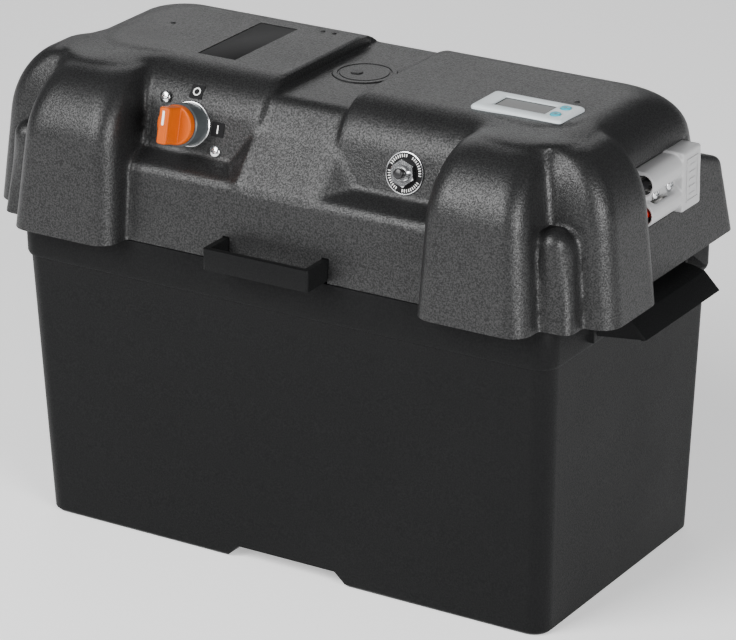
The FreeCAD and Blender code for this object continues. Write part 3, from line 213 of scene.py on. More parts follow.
def softened(node, width, steps=2, sharp=24.0):
    """A copy of a CAD node with its moulding edges rounded over."""
    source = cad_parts[node]
    shape = bmesh.new()
    shape.from_mesh(source.data)
    shape.transform(source.matrix_world)
    bmesh.ops.remove_doubles(shape, verts=shape.verts, dist=0.01 * MM)
    bmesh.ops.dissolve_limit(shape, angle_limit=math.radians(1.0), verts=shape.verts, edges=shape.edges)
    edges = [e for e in shape.edges if len(e.link_faces) == 2 and e.calc_face_angle(0) > math.radians(sharp)]
    bmesh.ops.bevel(shape, geom=edges, offset=width, offset_type="OFFSET", segments=steps, profile=0.5,
                    affect="EDGES", clamp_overlap=True, harden_normals=False)
    bmesh.ops.triangulate(shape, faces=[f for f in shape.faces if len(f.verts) > 4])
    bmesh.ops.recalc_face_normals(shape, faces=shape.faces)
    mesh = bpy.data.meshes.new(node + "_finished")
    shape.to_mesh(mesh)
    shape.free()
    return shade(mesh)


case_black = moulded_plastic("case_black", (0.0064, 0.0066, 0.0068), 0.46, 0.9 * MM, 0.35, specular=0.07,
                             sparkle=0.3)
piece("base_case_moulded", softened("base_case", 0.5 * MM), case_black, "base", "case_black", "base_case")

# -------------------- lid
# A second moulding, in charcoal polypropylene with a leather grain. Its form is drawn as a field
# of distances in millimetres, so that the bulges run into the panels as softly as in the tool.


def soft_max(a, b, reach):
    blend = np.maximum(reach - np.abs(a - b), 0) / reach
    return np.maximum(a, b) + blend * blend * reach / 4


def soft_min(a, b, reach):
    return -soft_max(-a, -b, reach)


def level_box(x, y, x_low, x_high, y_low, y_high, radius):
    """Distance to a round-cornered rectangle in plan, negative inside."""
    across = np.abs(x - (x_low + x_high) / 2) - (x_high - x_low) / 2 + radius
    along = np.abs(y - (y_low + y_high) / 2) - (y_high - y_low) / 2 + radius
    outside = np.hypot(np.maximum(across, 0), np.maximum(along, 0))
    return outside + np.minimum(np.maximum(across, along), 0) - radius


lid_low, lid_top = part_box("lid_shell")[0].z / MM, 293.5
skirt_half_length, skirt_half_width = 195.0, 100.4
shelf_height, shelf_half_length, shelf_half_width = 240.0, 189.7, 94.0
panel_foot_height, front_foot, back_foot = 247.0, 79.0, 74.5
panel_tilt, shoulder_round, end_round, end_half_length = math.radians(15.0), 32.0, 29.0, 188.4
channel_half_width, channel_floor, channel_front = 25.8, 286.5, 60.6
lid_thickness = 3.0


def reach_at(height, foot):
    """How far out the tilted panel, or the round above it, is at a height."""
    axis_height = lid_top - shoulder_round
    drop = (panel_foot_height - axis_height) * math.sin(panel_tilt)
    axis = foot + (drop - shoulder_round) / math.cos(panel_tilt)
    lift = np.clip(height - axis_height, -60, shoulder_round * 0.9995)
    on_round = axis + np.sqrt(shoulder_round ** 2 - np.clip(lift, 0, None) ** 2)
    on_panel = axis + (shoulder_round - lift * math.sin(panel_tilt)) / math.cos(panel_tilt)
    return np.where(lift > shoulder_round * math.sin(panel_tilt), on_round, on_panel)


def end_reach_at(height):
    axis_height = lid_top - end_round
    lift = np.clip(height - axis_height, -60, end_round * 0.9995)
    on_round = end_half_length - end_round + np.sqrt(end_round ** 2 - np.clip(lift, 0, None) ** 2)
    on_wall = end_half_length - lift * (shelf_half_length - end_half_length) / (axis_height - shelf_height)
    return np.where(lift > 0, on_round, on_wall)


def raised_middle(x, y, z):
    """The raised middle of the lid: two tilted panels, two ends and a flat top."""
    front, back, end = reach_at(z, front_foot), reach_at(z, back_foot), end_reach_at(z)
    steep = np.clip(z - (lid_top - shoulder_round), 0, shoulder_round * 0.97) / shoulder_round
    walls = level_box(x, y, -end, end, -front, back, 24.0) * np.sqrt(1 - steep * steep)
    return np.maximum(walls, z - lid_top)


def step_under(y, z, foot):
    """The shallow slope from the shelf up to a panel's foot."""
    run, rise = shelf_half_width - foot, panel_foot_height - shelf_height
    return (rise * (y - shelf_half_width) + run * (z - shelf_height)) / math.hypot(run, rise)


def skirt(x, y, z):
    share = (z - lid_low) / (shelf_height - lid_low)
    length = skirt_half_length - (skirt_half_length - shelf_half_length) * share
    width = skirt_half_width - (skirt_half_width - shelf_half_width) * share
    walls = level_box(x, y, -length, length, -width, width, 7.0)
    slopes = np.maximum(step_under(-y, z, front_foot), step_under(y, z, back_foot))
    return soft_max(walls, slopes, 4.5)


def bulge(x, y, z, sides, leans, rolls):
    """A drafted bulge whose top rolls over. sides, leans and rolls are x low, x high, y low, y high."""
    peak, turn, draft = 291.5, 40.0, math.tan(math.radians(6.2))
    lean = draft * (z - lid_low)
    share = np.clip((z - (peak - turn)) / turn, 0, 1) * 0.985
    roll = 1 - np.sqrt(1 - share * share)
    x_low, x_high, y_low, y_high = [
        side + sign * (lean * lean_share + roll * reach)
        for side, sign, lean_share, reach in zip(sides, (1, -1, 1, -1), leans, rolls)]
    walls = level_box(x, y, x_low, x_high, y_low, y_high, 13.0)
    slope = share / np.sqrt(1 - share * share)
    return soft_max(walls / np.sqrt(1 + 0.4 * slope * slope), z - peak, 3.0)


def corner_bulges(x, y, z):
    out = np.abs(x)
    front = bulge(out, y, z, (103.5, 176.0, -120.5, -34.0), (0.3, 0.9, 1, 0), (9, 10, 38, 0))
    end = bulge(out, y, z, (132.0, 212.5, -84.0, -23.4), (0, 1.0, 0.6, 0), (0, 27, 14, 6))
    stem_top, stem_radius = 243.0, 9.5
    over = np.maximum(z - stem_top, 0)
    stem = np.sqrt((out - 179.5) ** 2 + (y + 89.0) ** 2 + over * over) - stem_radius
    return soft_min(soft_min(front, end, 7.0), stem, 5.0)


def plane_through(x, y, z, a, b, c):
    """Distance above the plane of three points, positive upwards."""
    normal = np.cross(np.subtract(b, a), np.subtract(c, a))
    normal = normal / np.linalg.norm(normal)
    if normal[2] < 0:
        normal = -normal
    return (x - a[0]) * normal[0] + (y - a[1]) * normal[1] + (z - a[2]) * normal[2]


def strap_ramp(x, y, z):
    """The ramp down the front, which leans a little, with a sloping cheek at each side."""
    half, lean, foot = channel_half_width, 5.0, 43.0
    low_left, low_right = [(x - lean, -shelf_half_width, shelf_height) for x in (-half, half)]
    top_left, top_right = [(x, -channel_front, channel_floor) for x in (-half, half)]
    face = plane_through(x, y, z, low_left, low_right, top_right)
    left = plane_through(x, y, z, low_left, top_left, (-foot, -front_foot, panel_foot_height))
    right = plane_through(x, y, z, low_right, top_right, (foot, -front_foot, panel_foot_height))
    slopes = soft_max(soft_max(left, right, 1.5), face, 2.0)
    above_and_below = np.maximum(shelf_height - 1 - z, z - channel_floor)
    bounds = np.maximum(above_and_below, np.maximum(y + 52, np.abs(x) - foot - 1))
    return np.maximum(slopes, bounds)


def strap_channel(x, y, z):
    """The channel across the top: below its floor is positive, the room above it is negative."""
    run, fall = shelf_half_width - channel_front, channel_floor - shelf_height
    slope = math.hypot(run, fall)
    front = -((-y - channel_front) * fall + (z - channel_floor) * run) / slope
    back = -((y - channel_front) * fall + (z - channel_floor) * run) / slope
    above = soft_min(channel_floor - z, soft_min(front, back, 4.0), 5.0)
    return np.maximum(np.abs(x) - channel_half_width, above)


connector_low, connector_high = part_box("right_connector_housing")


def connector_pocket(x, y, z):
    """The flat seat in each end wall, from the bulge to the connector's far end."""
    gap = 0.4
    inner = connector_low.x / MM - gap
    back, front = connector_high.y / MM + gap, -23.4
    low, high = connector_low.z / MM - gap, connector_high.z / MM + gap
    middle_y, middle_z = (back + front) / 2, (low + high) / 2
    sides = np.maximum(np.abs(y - middle_y) - (back - front) / 2, np.abs(z - middle_z) - (high - low) / 2)
    return np.maximum(sides, inner - np.abs(x))


def lid_field(x, y, z):
    body = soft_min(skirt(x, y, z), raised_middle(x, y, z), 1.5)
    body = soft_min(body, corner_bulges(x, y, z), 3.5)
    body = soft_min(body, strap_ramp(x, y, z), 1.5)
    body = soft_max(body, -strap_channel(x, y, z), 3.0)
    return soft_max(body, -connector_pocket(x, y, z), 1.2)


def skin(field, low, high, step):
    """Points and quads of a field's zero surface, one point in every cell that it passes through."""
    axes = [np.arange(a, b + step, step) for a, b in zip(low, high)]
    value = field(*np.meshgrid(*axes, indexing="ij"))
    inside = value < 0
    cells = tuple(n - 1 for n in value.shape)
    corner = {c: (slice(c[0], c[0] + cells[0]), slice(c[1], c[1] + cells[1]), slice(c[2], c[2] + cells[2]))
              for c in np.ndindex(2, 2, 2)}
    total, count = np.zeros(cells + (3,)), np.zeros(cells)
    for start in corner:
        for axis in range(3):
            if start[axis] == 1:
                continue
            end = tuple(1 if n == axis else s for n, s in enumerate(start))
            a, b = value[corner[start]], value[corner[end]]
            crossed = inside[corner[start]] != inside[corner[end]]
            share = np.where(crossed, a / np.where(crossed, a - b, 1), 0)
            for n in range(3):
                total[..., n] += np.where(crossed, start[n] + (share if n == axis else 0), 0)
            count += crossed
    used = count > 0
    number = np.full(cells, -1)
    number[used] = np.arange(used.sum())
    spots = (np.argwhere(used) + total[used] / count[used][:, None]) * step + np.array(low)
    quads = []
    for axis in range(3):
        first, second = [n for n in range(3) if n != axis]
        lower = tuple(slice(0, -1) if n == axis else slice(1, -1) for n in range(3))
        upper = tuple(slice(1, None) if n == axis else slice(1, -1) for n in range(3))
        crossed = inside[lower] != inside[upper]
        place = np.argwhere(crossed) + np.array([0 if n == axis else 1 for n in range(3)])
        ring = []
        for da, db in ((-1, -1), (0, -1), (0, 0), (-1, 0)):
            cell = place.copy()
            cell[:, first] += da
            cell[:, second] += db
            ring.append(number[tuple(cell.T)])
        ring = np.stack(ring, 1)
        leaves = inside[lower][crossed]
        forward = leaves if axis != 1 else ~leaves
        quads.append(np.where(forward[:, None], ring, ring[:, ::-1]))
    return spots, np.concatenate(quads)


def settle(field, spots):
    """Moves each point onto the field's surface."""
    for _ in range(4):
        value = field(*spots.T)
        slopes = []
        for axis in range(3):
            nudge = np.zeros(3)
            nudge[axis] = 0.04
            slopes.append((field(*(spots + nudge).T) - field(*(spots - nudge).T)) / (2 * nudge[axis]))
        slopes = np.stack(slopes, 1)
        move = slopes * (value / np.maximum((slopes ** 2).sum(1), 0.04))[:, None]
        length = np.linalg.norm(move, axis=1)
        spots = spots - move * np.minimum(1, 1.2 / np.maximum(length, 1e-9))[:, None]
    return spots


lid_step = 2.3
lid_spots, lid_quads = skin(lid_field, (-218.5, -126.5, lid_low - 2 * lid_step), (218.5, 106.0, 297.0),
                            lid_step)
lid_spots = settle(lid_field, lid_spots)
lid_shape = bmesh.new()
lid_verts = [lid_shape.verts.new(spot) for spot in (lid_spots * MM).tolist()]
for corners in lid_quads.tolist():
    lid_shape.faces.new([lid_verts[n] for n in corners])
lid_rim_height = lid_low + 0.35
bmesh.ops.bisect_plane(lid_shape, geom=lid_shape.verts[:] + lid_shape.edges[:] + lid_shape.faces[:],
                       dist=1e-6, plane_co=(0, 0, lid_rim_height * MM), plane_no=(0, 0, 1), clear_inner=True)
lid_mesh = bpy.data.meshes.new("lid_moulding")
lid_shape.to_mesh(lid_mesh)
lid_shape.free()


def box_mesh(shape, low, high):
    """Adds a box between two corners, in metres."""
    made = bmesh.ops.create_cube(shape, size=1.0)["verts"]
    low, high = Vector(low), Vector(high)
    bmesh.ops.scale(shape, vec=high - low, verts=made)
    bmesh.ops.translate(shape, vec=(low + high) / 2, verts=made)
    return made


def panel_frame(node, thickness):
    """The frame of a flat round node on a front panel: its foot, with local z the outward normal."""
    low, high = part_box(node)
    middle = Matrix.Translation((low + high) / 2) @ Matrix.Rotation(math.pi / 2 - panel_tilt, 4, "X")
    return middle @ Matrix.Translation((0, 0, -thickness / 2))


def drum(shape, frame_at, radius, low, high, sides):
    """Adds a closed cylinder along the local z of a frame."""
    made = bmesh.ops.create_cone(shape, cap_ends=True, segments=sides, radius1=radius, radius2=radius,
                                 depth=high - low)["verts"]
    bmesh.ops.transform(shape, matrix=frame_at @ Matrix.Translation((0, 0, (low + high) / 2)), verts=made)


def as_mesh(shape, name):
    mesh = bpy.data.meshes.new(name)
    bmesh.ops.recalc_face_normals(shape, faces=shape.faces)
    shape.to_mesh(mesh)
    shape.free()
    return mesh


def machine(work, tool, action="DIFFERENCE"):
    """Cuts a working object with a tool, or keeps what the two share."""
    step = work.modifiers.new(action.lower(), "BOOLEAN")
    step.operation = action
    step.object = tool
    step.solver = "EXACT"
    return step


def finished_mesh(work, *tools):
    """The mesh that a working object's modifiers give. The object and its tools are then put away."""
    bpy.context.view_layer.update()
    mesh = bpy.data.meshes.new_from_object(work.evaluated_get(bpy.context.evaluated_depsgraph_get()))
    for thing in (*tools, work):
        bpy.data.objects.remove(thing)
    return mesh


lid_holes = bmesh.new()
above_lid, below_rim = 0.31, 0.190
for node, gap in (("rating_plate", 0.25), ("meter_body", 0.3)):
    low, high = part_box(node)
    floor_z = low.z if node == "rating_plate" else low.z - 0.01
    room = gap * MM
    box_mesh(lid_holes, (low.x - room, low.y - room, floor_z), (high.x + room, high.y + room, above_lid))
loop_half, loop_bar, loop_top, slot_gap = 36.0 * MM, 3.8 * MM, 208.8 * MM, 0.5 * MM
wall_inside, wall_outside = 0.092, 0.106
for side in (-1, 1):
    for face in (-1, 1):
        x_edges = sorted((side * (loop_half - loop_bar - slot_gap), side * (loop_half + slot_gap)))
        y_edges = sorted((face * wall_inside, face * wall_outside))
        box_mesh(lid_holes, (x_edges[0], y_edges[0], below_rim),
                 (x_edges[1], y_edges[1], loop_top + slot_gap))
switch_frame = panel_frame("isolator_face_ring", 0.8 * MM)
breaker_frame = panel_frame("breaker_nameplate", 1.0 * MM)
for at_hole, hole_radius, sides in ((switch_frame, 9.7 * MM, 48), (breaker_frame, 5.1 * MM, 32)):
    drum(lid_holes, at_hole, hole_radius, -12 * MM, 6 * MM, sides)

lid_raw = in_scene("lid_moulding_raw", lid_mesh)
hole_tool = in_scene("lid_hole_tool", as_mesh(lid_holes, "lid_hole_tool"))
walls = lid_raw.modifiers.new("walls", "SOLIDIFY")
walls.thickness = lid_thickness * MM
walls.offset = -1.0
machine(lid_raw, hole_tool)
lid_charcoal = moulded_plastic("lid_charcoal", (0.011, 0.0111, 0.0113), 0.38, 1.0 * MM, 0.6, specular=0.36,
                               sparkle=0.5)
piece("lid_moulded", shade(finished_mesh(lid_raw, hole_tool), 40.0), lid_charcoal, "lid", "lid_charcoal",
      "lid_shell")


def turned(profile, frame_at, sides=72):
    """A piece turned on a lathe: (radius, height) points in millimetres, spun about local z."""
    angles = [2 * math.pi * n / sides for n in range(sides)]
    shape = bmesh.new()
    rings = []
    for radius, height in profile:
        if radius == 0:
            rings.append([shape.verts.new((0, 0, height * MM))])
        else:
            rings.append([shape.verts.new((radius * MM * math.cos(a), radius * MM * math.sin(a), height * MM))
                          for a in angles])
    for lower, upper in zip(rings, rings[1:]):
        for n in range(sides):
            corners = [ring[k % len(ring)]
                       for ring, k in ((lower, n), (lower, n + 1), (upper, n + 1), (upper, n))]
            shape.faces.new(list(dict.fromkeys(corners)))
    if profile[0][0] and profile[-1][0] and profile[0] != profile[-1]:
        for n in range(sides):
            after = (n + 1) % sides
            shape.faces.new([rings[-1][n], rings[-1][after], rings[0][after], rings[0][n]])
    bmesh.ops.remove_doubles(shape, verts=shape.verts, dist=0.001 * MM)
    shape.transform(frame_at)
    return as_mesh(shape, "turned")


at_origin = Matrix.Identity(4)
channel_centre = Matrix.Translation((0, 0, channel_floor * MM))
mark_profile = [(0, 0.55), (14.6, 0.55), (15.1, 0.2), (15.9, 0.2), (16.4, 0.62), (18.9, 0.62), (19.5, 0.1),
                (19.5, -0.6)]
piece("moulding_mark", shade(turned(mark_profile, channel_centre), 20), lid_charcoal, "lid", "lid_charcoal")
nub_frame = channel_centre @ Matrix.Translation((-3.5 * MM, -3.0 * MM, 0))
nub_profile = [(0, 1.25), (2.6, 1.2), (3.6, 0.9), (4.0, 0.4), (4.1, 0.0)]
piece("moulding_mark_nub", shade(turned(nub_profile, nub_frame, 32), 50), lid_charcoal, "lid", "lid_charcoal")
pip_profile = [(0, 0.75), (0.9, 0.68), (1.4, 0.4), (1.6, 0.0), (1.6, -0.5)]
for number, (x, y) in enumerate(((-138.7, 3.8), (142.6, 0.3), (-52.0, 36.0), (-44.0, 36.0))):
    at_pip = Matrix.Translation((x * MM, y * MM, lid_top * MM))
    piece(f"lid_pip_{number + 1}", shade(turned(pip_profile, at_pip, 24), 60), lid_charcoal, "lid",
          "lid_charcoal")

# -------------------- blank plate
# A smooth black film plate, glued into a shallow recess in the top of the lid. It carries nothing.

film_black = moulded_plastic("film_black", (0.0075, 0.0075, 0.008), 0.5, 0.5 * MM, 0.06, specular=0.1,
                             mottle=0.2)
piece("blank_plate", softened("rating_plate", 0.12 * MM), film_black, "lid", "plate_black", "rating_plate")

# -------------------- isolator
# A rotary battery isolator: a grey nylon collar in a bright ring, an orange knob with a finger bar
# on the shaft, and two pan screws through the panel into the switch body behind it.


def metal(name, colour, roughness):
    """Plated or machined metal with fine tool marks in its gloss."""
    finish, tree, shader, place = new_finish(name)
    set_inputs(shader, Metallic=1.0)
    scratches, dulled = 0.06, 0.86
    marks = speckle(tree, place, 420.0, 5.0)
    drift_value(tree, marks, shader, "Roughness", roughness - scratches, roughness + scratches)
    drift_colour(tree, marks, shader, [c * dulled for c in colour], colour)
    raise_grain(tree, marks, shader, 0.08, 0.05 * MM)
    return finish


collar_grey = moulded_plastic("collar_grey", (0.045, 0.051, 0.054), 0.34, 0.4 * MM, 0.12, specular=0.45)
ring_silver = metal("ring_silver", (0.86, 0.87, 0.88), 0.2)
knob_orange = moulded_plastic("knob_orange", (0.46, 0.075, 0.0005), 0.36, 0.45 * MM, 0.05, specular=0.16,
                              mottle=0.06)
print_white = moulded_plastic("print_white", (0.86, 0.86, 0.84), 0.4, 0.3 * MM, 0.05, mottle=0.03)

collar_profile = [(3.2, 13.0), (11.9, 13.0), (12.6, 12.3), (12.6, 0.9), (12.6, 0.0), (9.6, 0.0), (9.6, -4.5),
                  (3.2, -4.5)]
piece("isolator_collar_turned", shade(turned(collar_profile, switch_frame, 96)), collar_grey, "lid",
      "collar_grey", "isolator_collar")
ring_profile = [(12.62, 0.0), (12.62, 0.75), (12.85, 0.95), (13.3, 0.9), (13.6, 0.55), (13.6, 0.0)]
piece("isolator_ring_turned", shade(turned(ring_profile, switch_frame, 96)), ring_silver, "lid",
      "ring_silver", "isolator_face_ring")

knob_foot, knob_skirt_top, knob_top = 13.4, 18.0, 30.0
knob_profile = [(0, knob_foot), (11.6, knob_foot), (11.8, knob_foot + 0.3), (11.8, 17.3), (11.4, 17.8),
                (10.6, knob_skirt_top), (0, knob_skirt_top)]
knob_shape = bmesh.new()
knob_shape.from_mesh(turned(knob_profile, at_origin, 96))
bar = box_mesh(knob_shape, (-3.9 * MM, -11.1 * MM, 17.0 * MM), (3.9 * MM, 11.1 * MM, knob_top * MM))
for corner in bar:
    if corner.co.z > 20 * MM:
        corner.co.x *= 0.86
        corner.co.y *= 0.985
bar_edges = {e for v in bar for e in v.link_edges if (e.verts[0].co.z + e.verts[1].co.z) / 2 > 19 * MM}
bmesh.ops.bevel(knob_shape, geom=list(bar_edges), offset=1.5 * MM, offset_type="OFFSET", segments=5,
                profile=0.5, affect="EDGES")
knob_raw = in_scene("knob_raw", as_mesh(knob_shape, "knob_raw"))
fusing = knob_raw.modifiers.new("one_moulding", "REMESH")
fusing.mode = "VOXEL"
fusing.voxel_size = 0.3 * MM
easing = knob_raw.modifiers.new("fillets", "SMOOTH")
easing.factor = 0.5
easing.iterations = 5
knob_finished = finished_mesh(knob_raw)
knob_finished.transform(switch_frame)
knob_finished.shade_smooth()
piece("isolator_knob_moulded", knob_finished, knob_orange, "knob", "knob_orange", "isolator_knob")


def lift(shape, corners, height):
    """Fills a ring of points and pulls the face up into a solid."""
    risen = bmesh.ops.extrude_face_region(shape, geom=[shape.faces.new(corners)])["geom"]
    tops = [v for v in risen if isinstance(v, bmesh.types.BMVert)]
    bmesh.ops.translate(shape, vec=(0, 0, height), verts=tops)


def rounded_bar(frame_at, length, width, low, high, name, steps=10):
    """A flat bar with round ends, along local y, in millimetres."""
    shape = bmesh.new()
    radius, straight = width / 2, (length - width) / 2
    outline = [(radius * math.cos(a), end * straight + radius * math.sin(a))
               for end, start in ((1, 0), (-1, math.pi))
               for a in (start + math.pi * n / steps for n in range(steps + 1))]
    base = [shape.verts.new((x * MM, y * MM, low * MM)) for x, y in outline]
    lift(shape, base, (high - low) * MM)
    shape.transform(frame_at)
    return as_mesh(shape, name)


pointer_frame = switch_frame @ Matrix.Translation((0, 4.4 * MM, 0))
pointer_mesh = rounded_bar(pointer_frame, 8.6, 1.5, 29.3, 30.03, "pointer")
piece("isolator_pointer_inlay", shade(pointer_mesh), print_white, "knob", "print_white", "isolator_pointer")


def position_plate(node, symbol):
    """A black film plate with a plain printed switch symbol. The off plate lies on a slope of its own."""
    low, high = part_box(node)
    own_slope = math.atan2(high.z - low.z, high.y - low.y)
    tilt = math.pi / 2 - panel_tilt if node == "on_plate" else own_slope
    at = Matrix.Translation((low + high) / 2) @ Matrix.Rotation(tilt, 4, "X")
    half, film = 4.35 * MM, 0.2 * MM
    shape = bmesh.new()
    box_mesh(shape, (-half, -half, -film), (half, half, film))
    bmesh.ops.bevel(shape, geom=list(shape.edges), offset=0.12 * MM, segments=2, affect="EDGES")
    shape.transform(at)
    piece(node + "_film", shade(as_mesh(shape, node)), film_black, "lid", "plate_black", node)
    face = at @ Matrix.Translation((0, 0, film))
    if symbol == "ring":
        mesh = turned([(1.75, 0.0), (1.75, 0.06), (2.5, 0.06), (2.5, 0.0)], face, 40)
    else:
        mesh = rounded_bar(face, 5.0, 0.8, -0.02, 0.06, "bar_symbol")
    piece(node + "_symbol", shade(mesh), print_white, "lid", "print_white")


position_plate("on_plate", "bar")
position_plate("off_plate", "ring")


def node_group(name, sizes):
    """An empty geometry tree with named number inputs and their values."""
    tree = bpy.data.node_groups.new(name, "GeometryNodeTree")
    tree.interface.new_socket("Geometry", in_out="INPUT", socket_type="NodeSocketGeometry")
    for label, value in sizes.items():
        kind = "NodeSocketInt" if isinstance(value, int) else "NodeSocketFloat"
        tree.interface.new_socket(label, in_out="INPUT", socket_type=kind).default_value = value
    tree.interface.new_socket("Geometry", in_out="OUTPUT", socket_type="NodeSocketGeometry")
    return tree


def grown(name, tree, carrier, sizes):
    """Runs a geometry tree on a carrier mesh and returns the plain mesh that comes out."""
    holder = in_scene(name, carrier)
    growth = holder.modifiers.new("growth", "NODES")
    growth.node_group = tree
    for item in tree.interface.items_tree:
        if item.in_out == "INPUT" and item.name in sizes:
            growth[item.identifier] = sizes[item.name]
    return finished_mesh(holder)


def new_nodes(tree, *kinds):
    return [tree.nodes.new(kind) for kind in kinds]


def copying_tree(name, sizes, source, finish):
    """A geometry tree that ends in real copies of a source object, in one finish."""
    tree = node_group(name, sizes)
    start, end, thing, copies, real, coat = new_nodes(
        tree, "NodeGroupInput", "NodeGroupOutput", "GeometryNodeObjectInfo", "GeometryNodeInstanceOnPoints",
        "GeometryNodeRealizeInstances", "GeometryNodeSetMaterial")
    set_inputs(thing, Object=source)
    set_inputs(coat, Material=finish)
    wire(tree, (thing, "Geometry", copies, "Instance"), (copies, "Instances", real, "Geometry"),
         (real, "Geometry", coat, "Geometry"), (coat, "Geometry", end, "Geometry"))
    return tree, start, copies


def seated_copies(name, source, finish):
    """A tree that sets a copy of a source object on every face of the carrier, along its normal."""
    tree, start, copies = copying_tree(name, {"Scale": 1.0}, source, finish)
    spots, normal, kept, upright_turn = new_nodes(
        tree, "GeometryNodeMeshToPoints", "GeometryNodeInputNormal", "GeometryNodeCaptureAttribute",
        "FunctionNodeAlignRotationToVector")
    spots.mode = "FACES"
    kept.domain = "FACE"
    kept.capture_items.new("VECTOR", "Normal")
    upright_turn.axis = "Z"
    wire(tree, (start, "Geometry", kept, "Geometry"), (normal, "Normal", kept, "Normal"),
         (kept, "Geometry", spots, "Mesh"), (kept, "Normal", upright_turn, "Vector"),
         (spots, "Points", copies, "Points"), (upright_turn, "Rotation", copies, "Rotation"),
         (start, "Scale", copies, "Scale"))
    return tree


def seats(places):
    """A carrier mesh with one small face at each frame, facing along its local z."""
    shape = bmesh.new()
    half = 0.1 * MM
    for at in places:
        corners = [at @ Vector((x * half, y * half, 0)) for x, y in square]
        shape.faces.new([shape.verts.new(corner) for corner in corners])
    mesh = bpy.data.meshes.new("seats")
    shape.to_mesh(mesh)
    shape.free()
    return mesh


def cross_screw(name, head_radius, head_height, stem_radius, stem_length):
    """A pan screw with a cross recess, standing on its seat with its stem below, in millimetres."""
    dome = [(0, head_height)] + [(head_radius * math.sin(a), head_height * (0.45 + 0.55 * math.cos(a)))
                                 for a in (math.radians(d) for d in (20, 38, 54, 68, 80, 90))]
    profile = dome + [(head_radius, 0.0), (stem_radius, 0.0)]
    pitch, thread_depth = 0.7, 0.25
    for n in range(int(stem_length / pitch)):
        profile += [(stem_radius, -n * pitch - 0.15), (stem_radius - thread_depth, -n * pitch - 0.5)]
    profile += [(stem_radius * 0.7, -stem_length), (0, -stem_length)]
    body = in_scene(name, turned(profile, at_origin, 40))
    recess = bmesh.new()
    long, thin = head_radius * 0.52, head_radius * 0.13
    for a, b in ((long, thin), (thin, long)):
        box_mesh(recess, (-a * MM, -b * MM, head_height * 0.3 * MM), (a * MM, b * MM, head_height * 1.5 * MM))
    cross = in_scene(name + "_recess", as_mesh(recess, name + "_recess"))
    machine(body, cross).use_self = True
    return in_scene(name, shade(finished_mesh(body, cross), 35))


screw_chrome = metal("screw_chrome", (0.83, 0.84, 0.85), 0.16)
panel_screw = cross_screw("panel_screw", 3.6, 2.3, 1.95, 12.0)
screw_out, screw_up = 19.35 * MM, 13.0 * MM
screw_spots = [switch_frame @ Matrix.Translation((side * screw_out, -side * screw_up, 0)) for side in (-1, 1)]
screw_tree = seated_copies("screws_in_panel", panel_screw, screw_chrome)
panel_screws = grown("isolator_screws_grown", screw_tree, seats(screw_spots), {"Scale": 1.0})
piece("isolator_screws_pan", panel_screws, screw_chrome, "lid", "screw_chrome", "isolator_screws")

# -------------------- breaker
# A push-to-reset breaker, held through the panel by a chrome hexagon nut on its threaded bush over
# a black round nameplate. The plate has a bright rim and a ring of plain printed marks.

plate_profile = [(5.05, 0.0), (5.05, 1.0), (11.7, 1.0), (11.7, 0.0)]
piece("breaker_nameplate_film", shade(turned(plate_profile, breaker_frame, 96)), film_black, "lid",
      "plate_black", "breaker_nameplate")
rim_profile = [(11.72, 0.0), (11.72, 1.02), (11.95, 1.15), (12.25, 1.05), (12.4, 0.7), (12.4, 0.0)]
piece("breaker_nameplate_rim", shade(turned(rim_profile, breaker_frame, 96)), ring_silver, "lid",
      "ring_silver")

mark_source = in_scene("dial_mark", rounded_bar(at_origin, 1.9, 0.52, 0.0, 0.07, "dial_mark", 4))


def marks_in_a_ring(source, finish, sizes):
    """A tree that sets marks round a circle, each along its radius, with a gap after every group."""
    tree, start, copies = copying_tree("marks_in_a_ring", sizes, source, finish)
    circle, index, turn = new_nodes(tree, "GeometryNodeMeshCircle", "GeometryNodeInputIndex",
                                    "ShaderNodeCombineXYZ")
    place, gap, angle, share, less = new_nodes(tree, *["ShaderNodeMath"] * 5)
    for sum_node, action in ((place, "MODULO"), (gap, "LESS_THAN"), (angle, "MULTIPLY"), (share, "DIVIDE"),
                             (less, "SUBTRACT")):
        sum_node.operation = action
    share.inputs[0].default_value = 2 * math.pi
    less.inputs[1].default_value = math.pi / 2
    wire(tree, (start, "Count", circle, "Vertices"), (start, "Radius", circle, "Radius"),
         (index, "Index", place, 0), (start, "Group", place, 1), (place, 0, gap, 0),
         (start, "Marks per group", gap, 1), (start, "Count", share, 1), (index, "Index", angle, 0),
         (share, 0, angle, 1), (angle, 0, less, 0), (less, 0, turn, "Z"), (circle, "Mesh", copies, "Points"),
         (gap, 0, copies, "Selection"), (turn, 0, copies, "Rotation"))
    return tree


ring_sizes = {"Count": 44, "Radius": 10.1 * MM, "Group": 11, "Marks per group": 9}
ring_tree = marks_in_a_ring(mark_source, print_white, ring_sizes)
ring_marks = grown("breaker_marks", ring_tree, bpy.data.meshes.new("empty_carrier"), ring_sizes)
ring_marks.transform(breaker_frame @ Matrix.Translation((0, 0, 0.99 * MM)))
piece("breaker_nameplate_marks", ring_marks, print_white, "lid", "print_white")

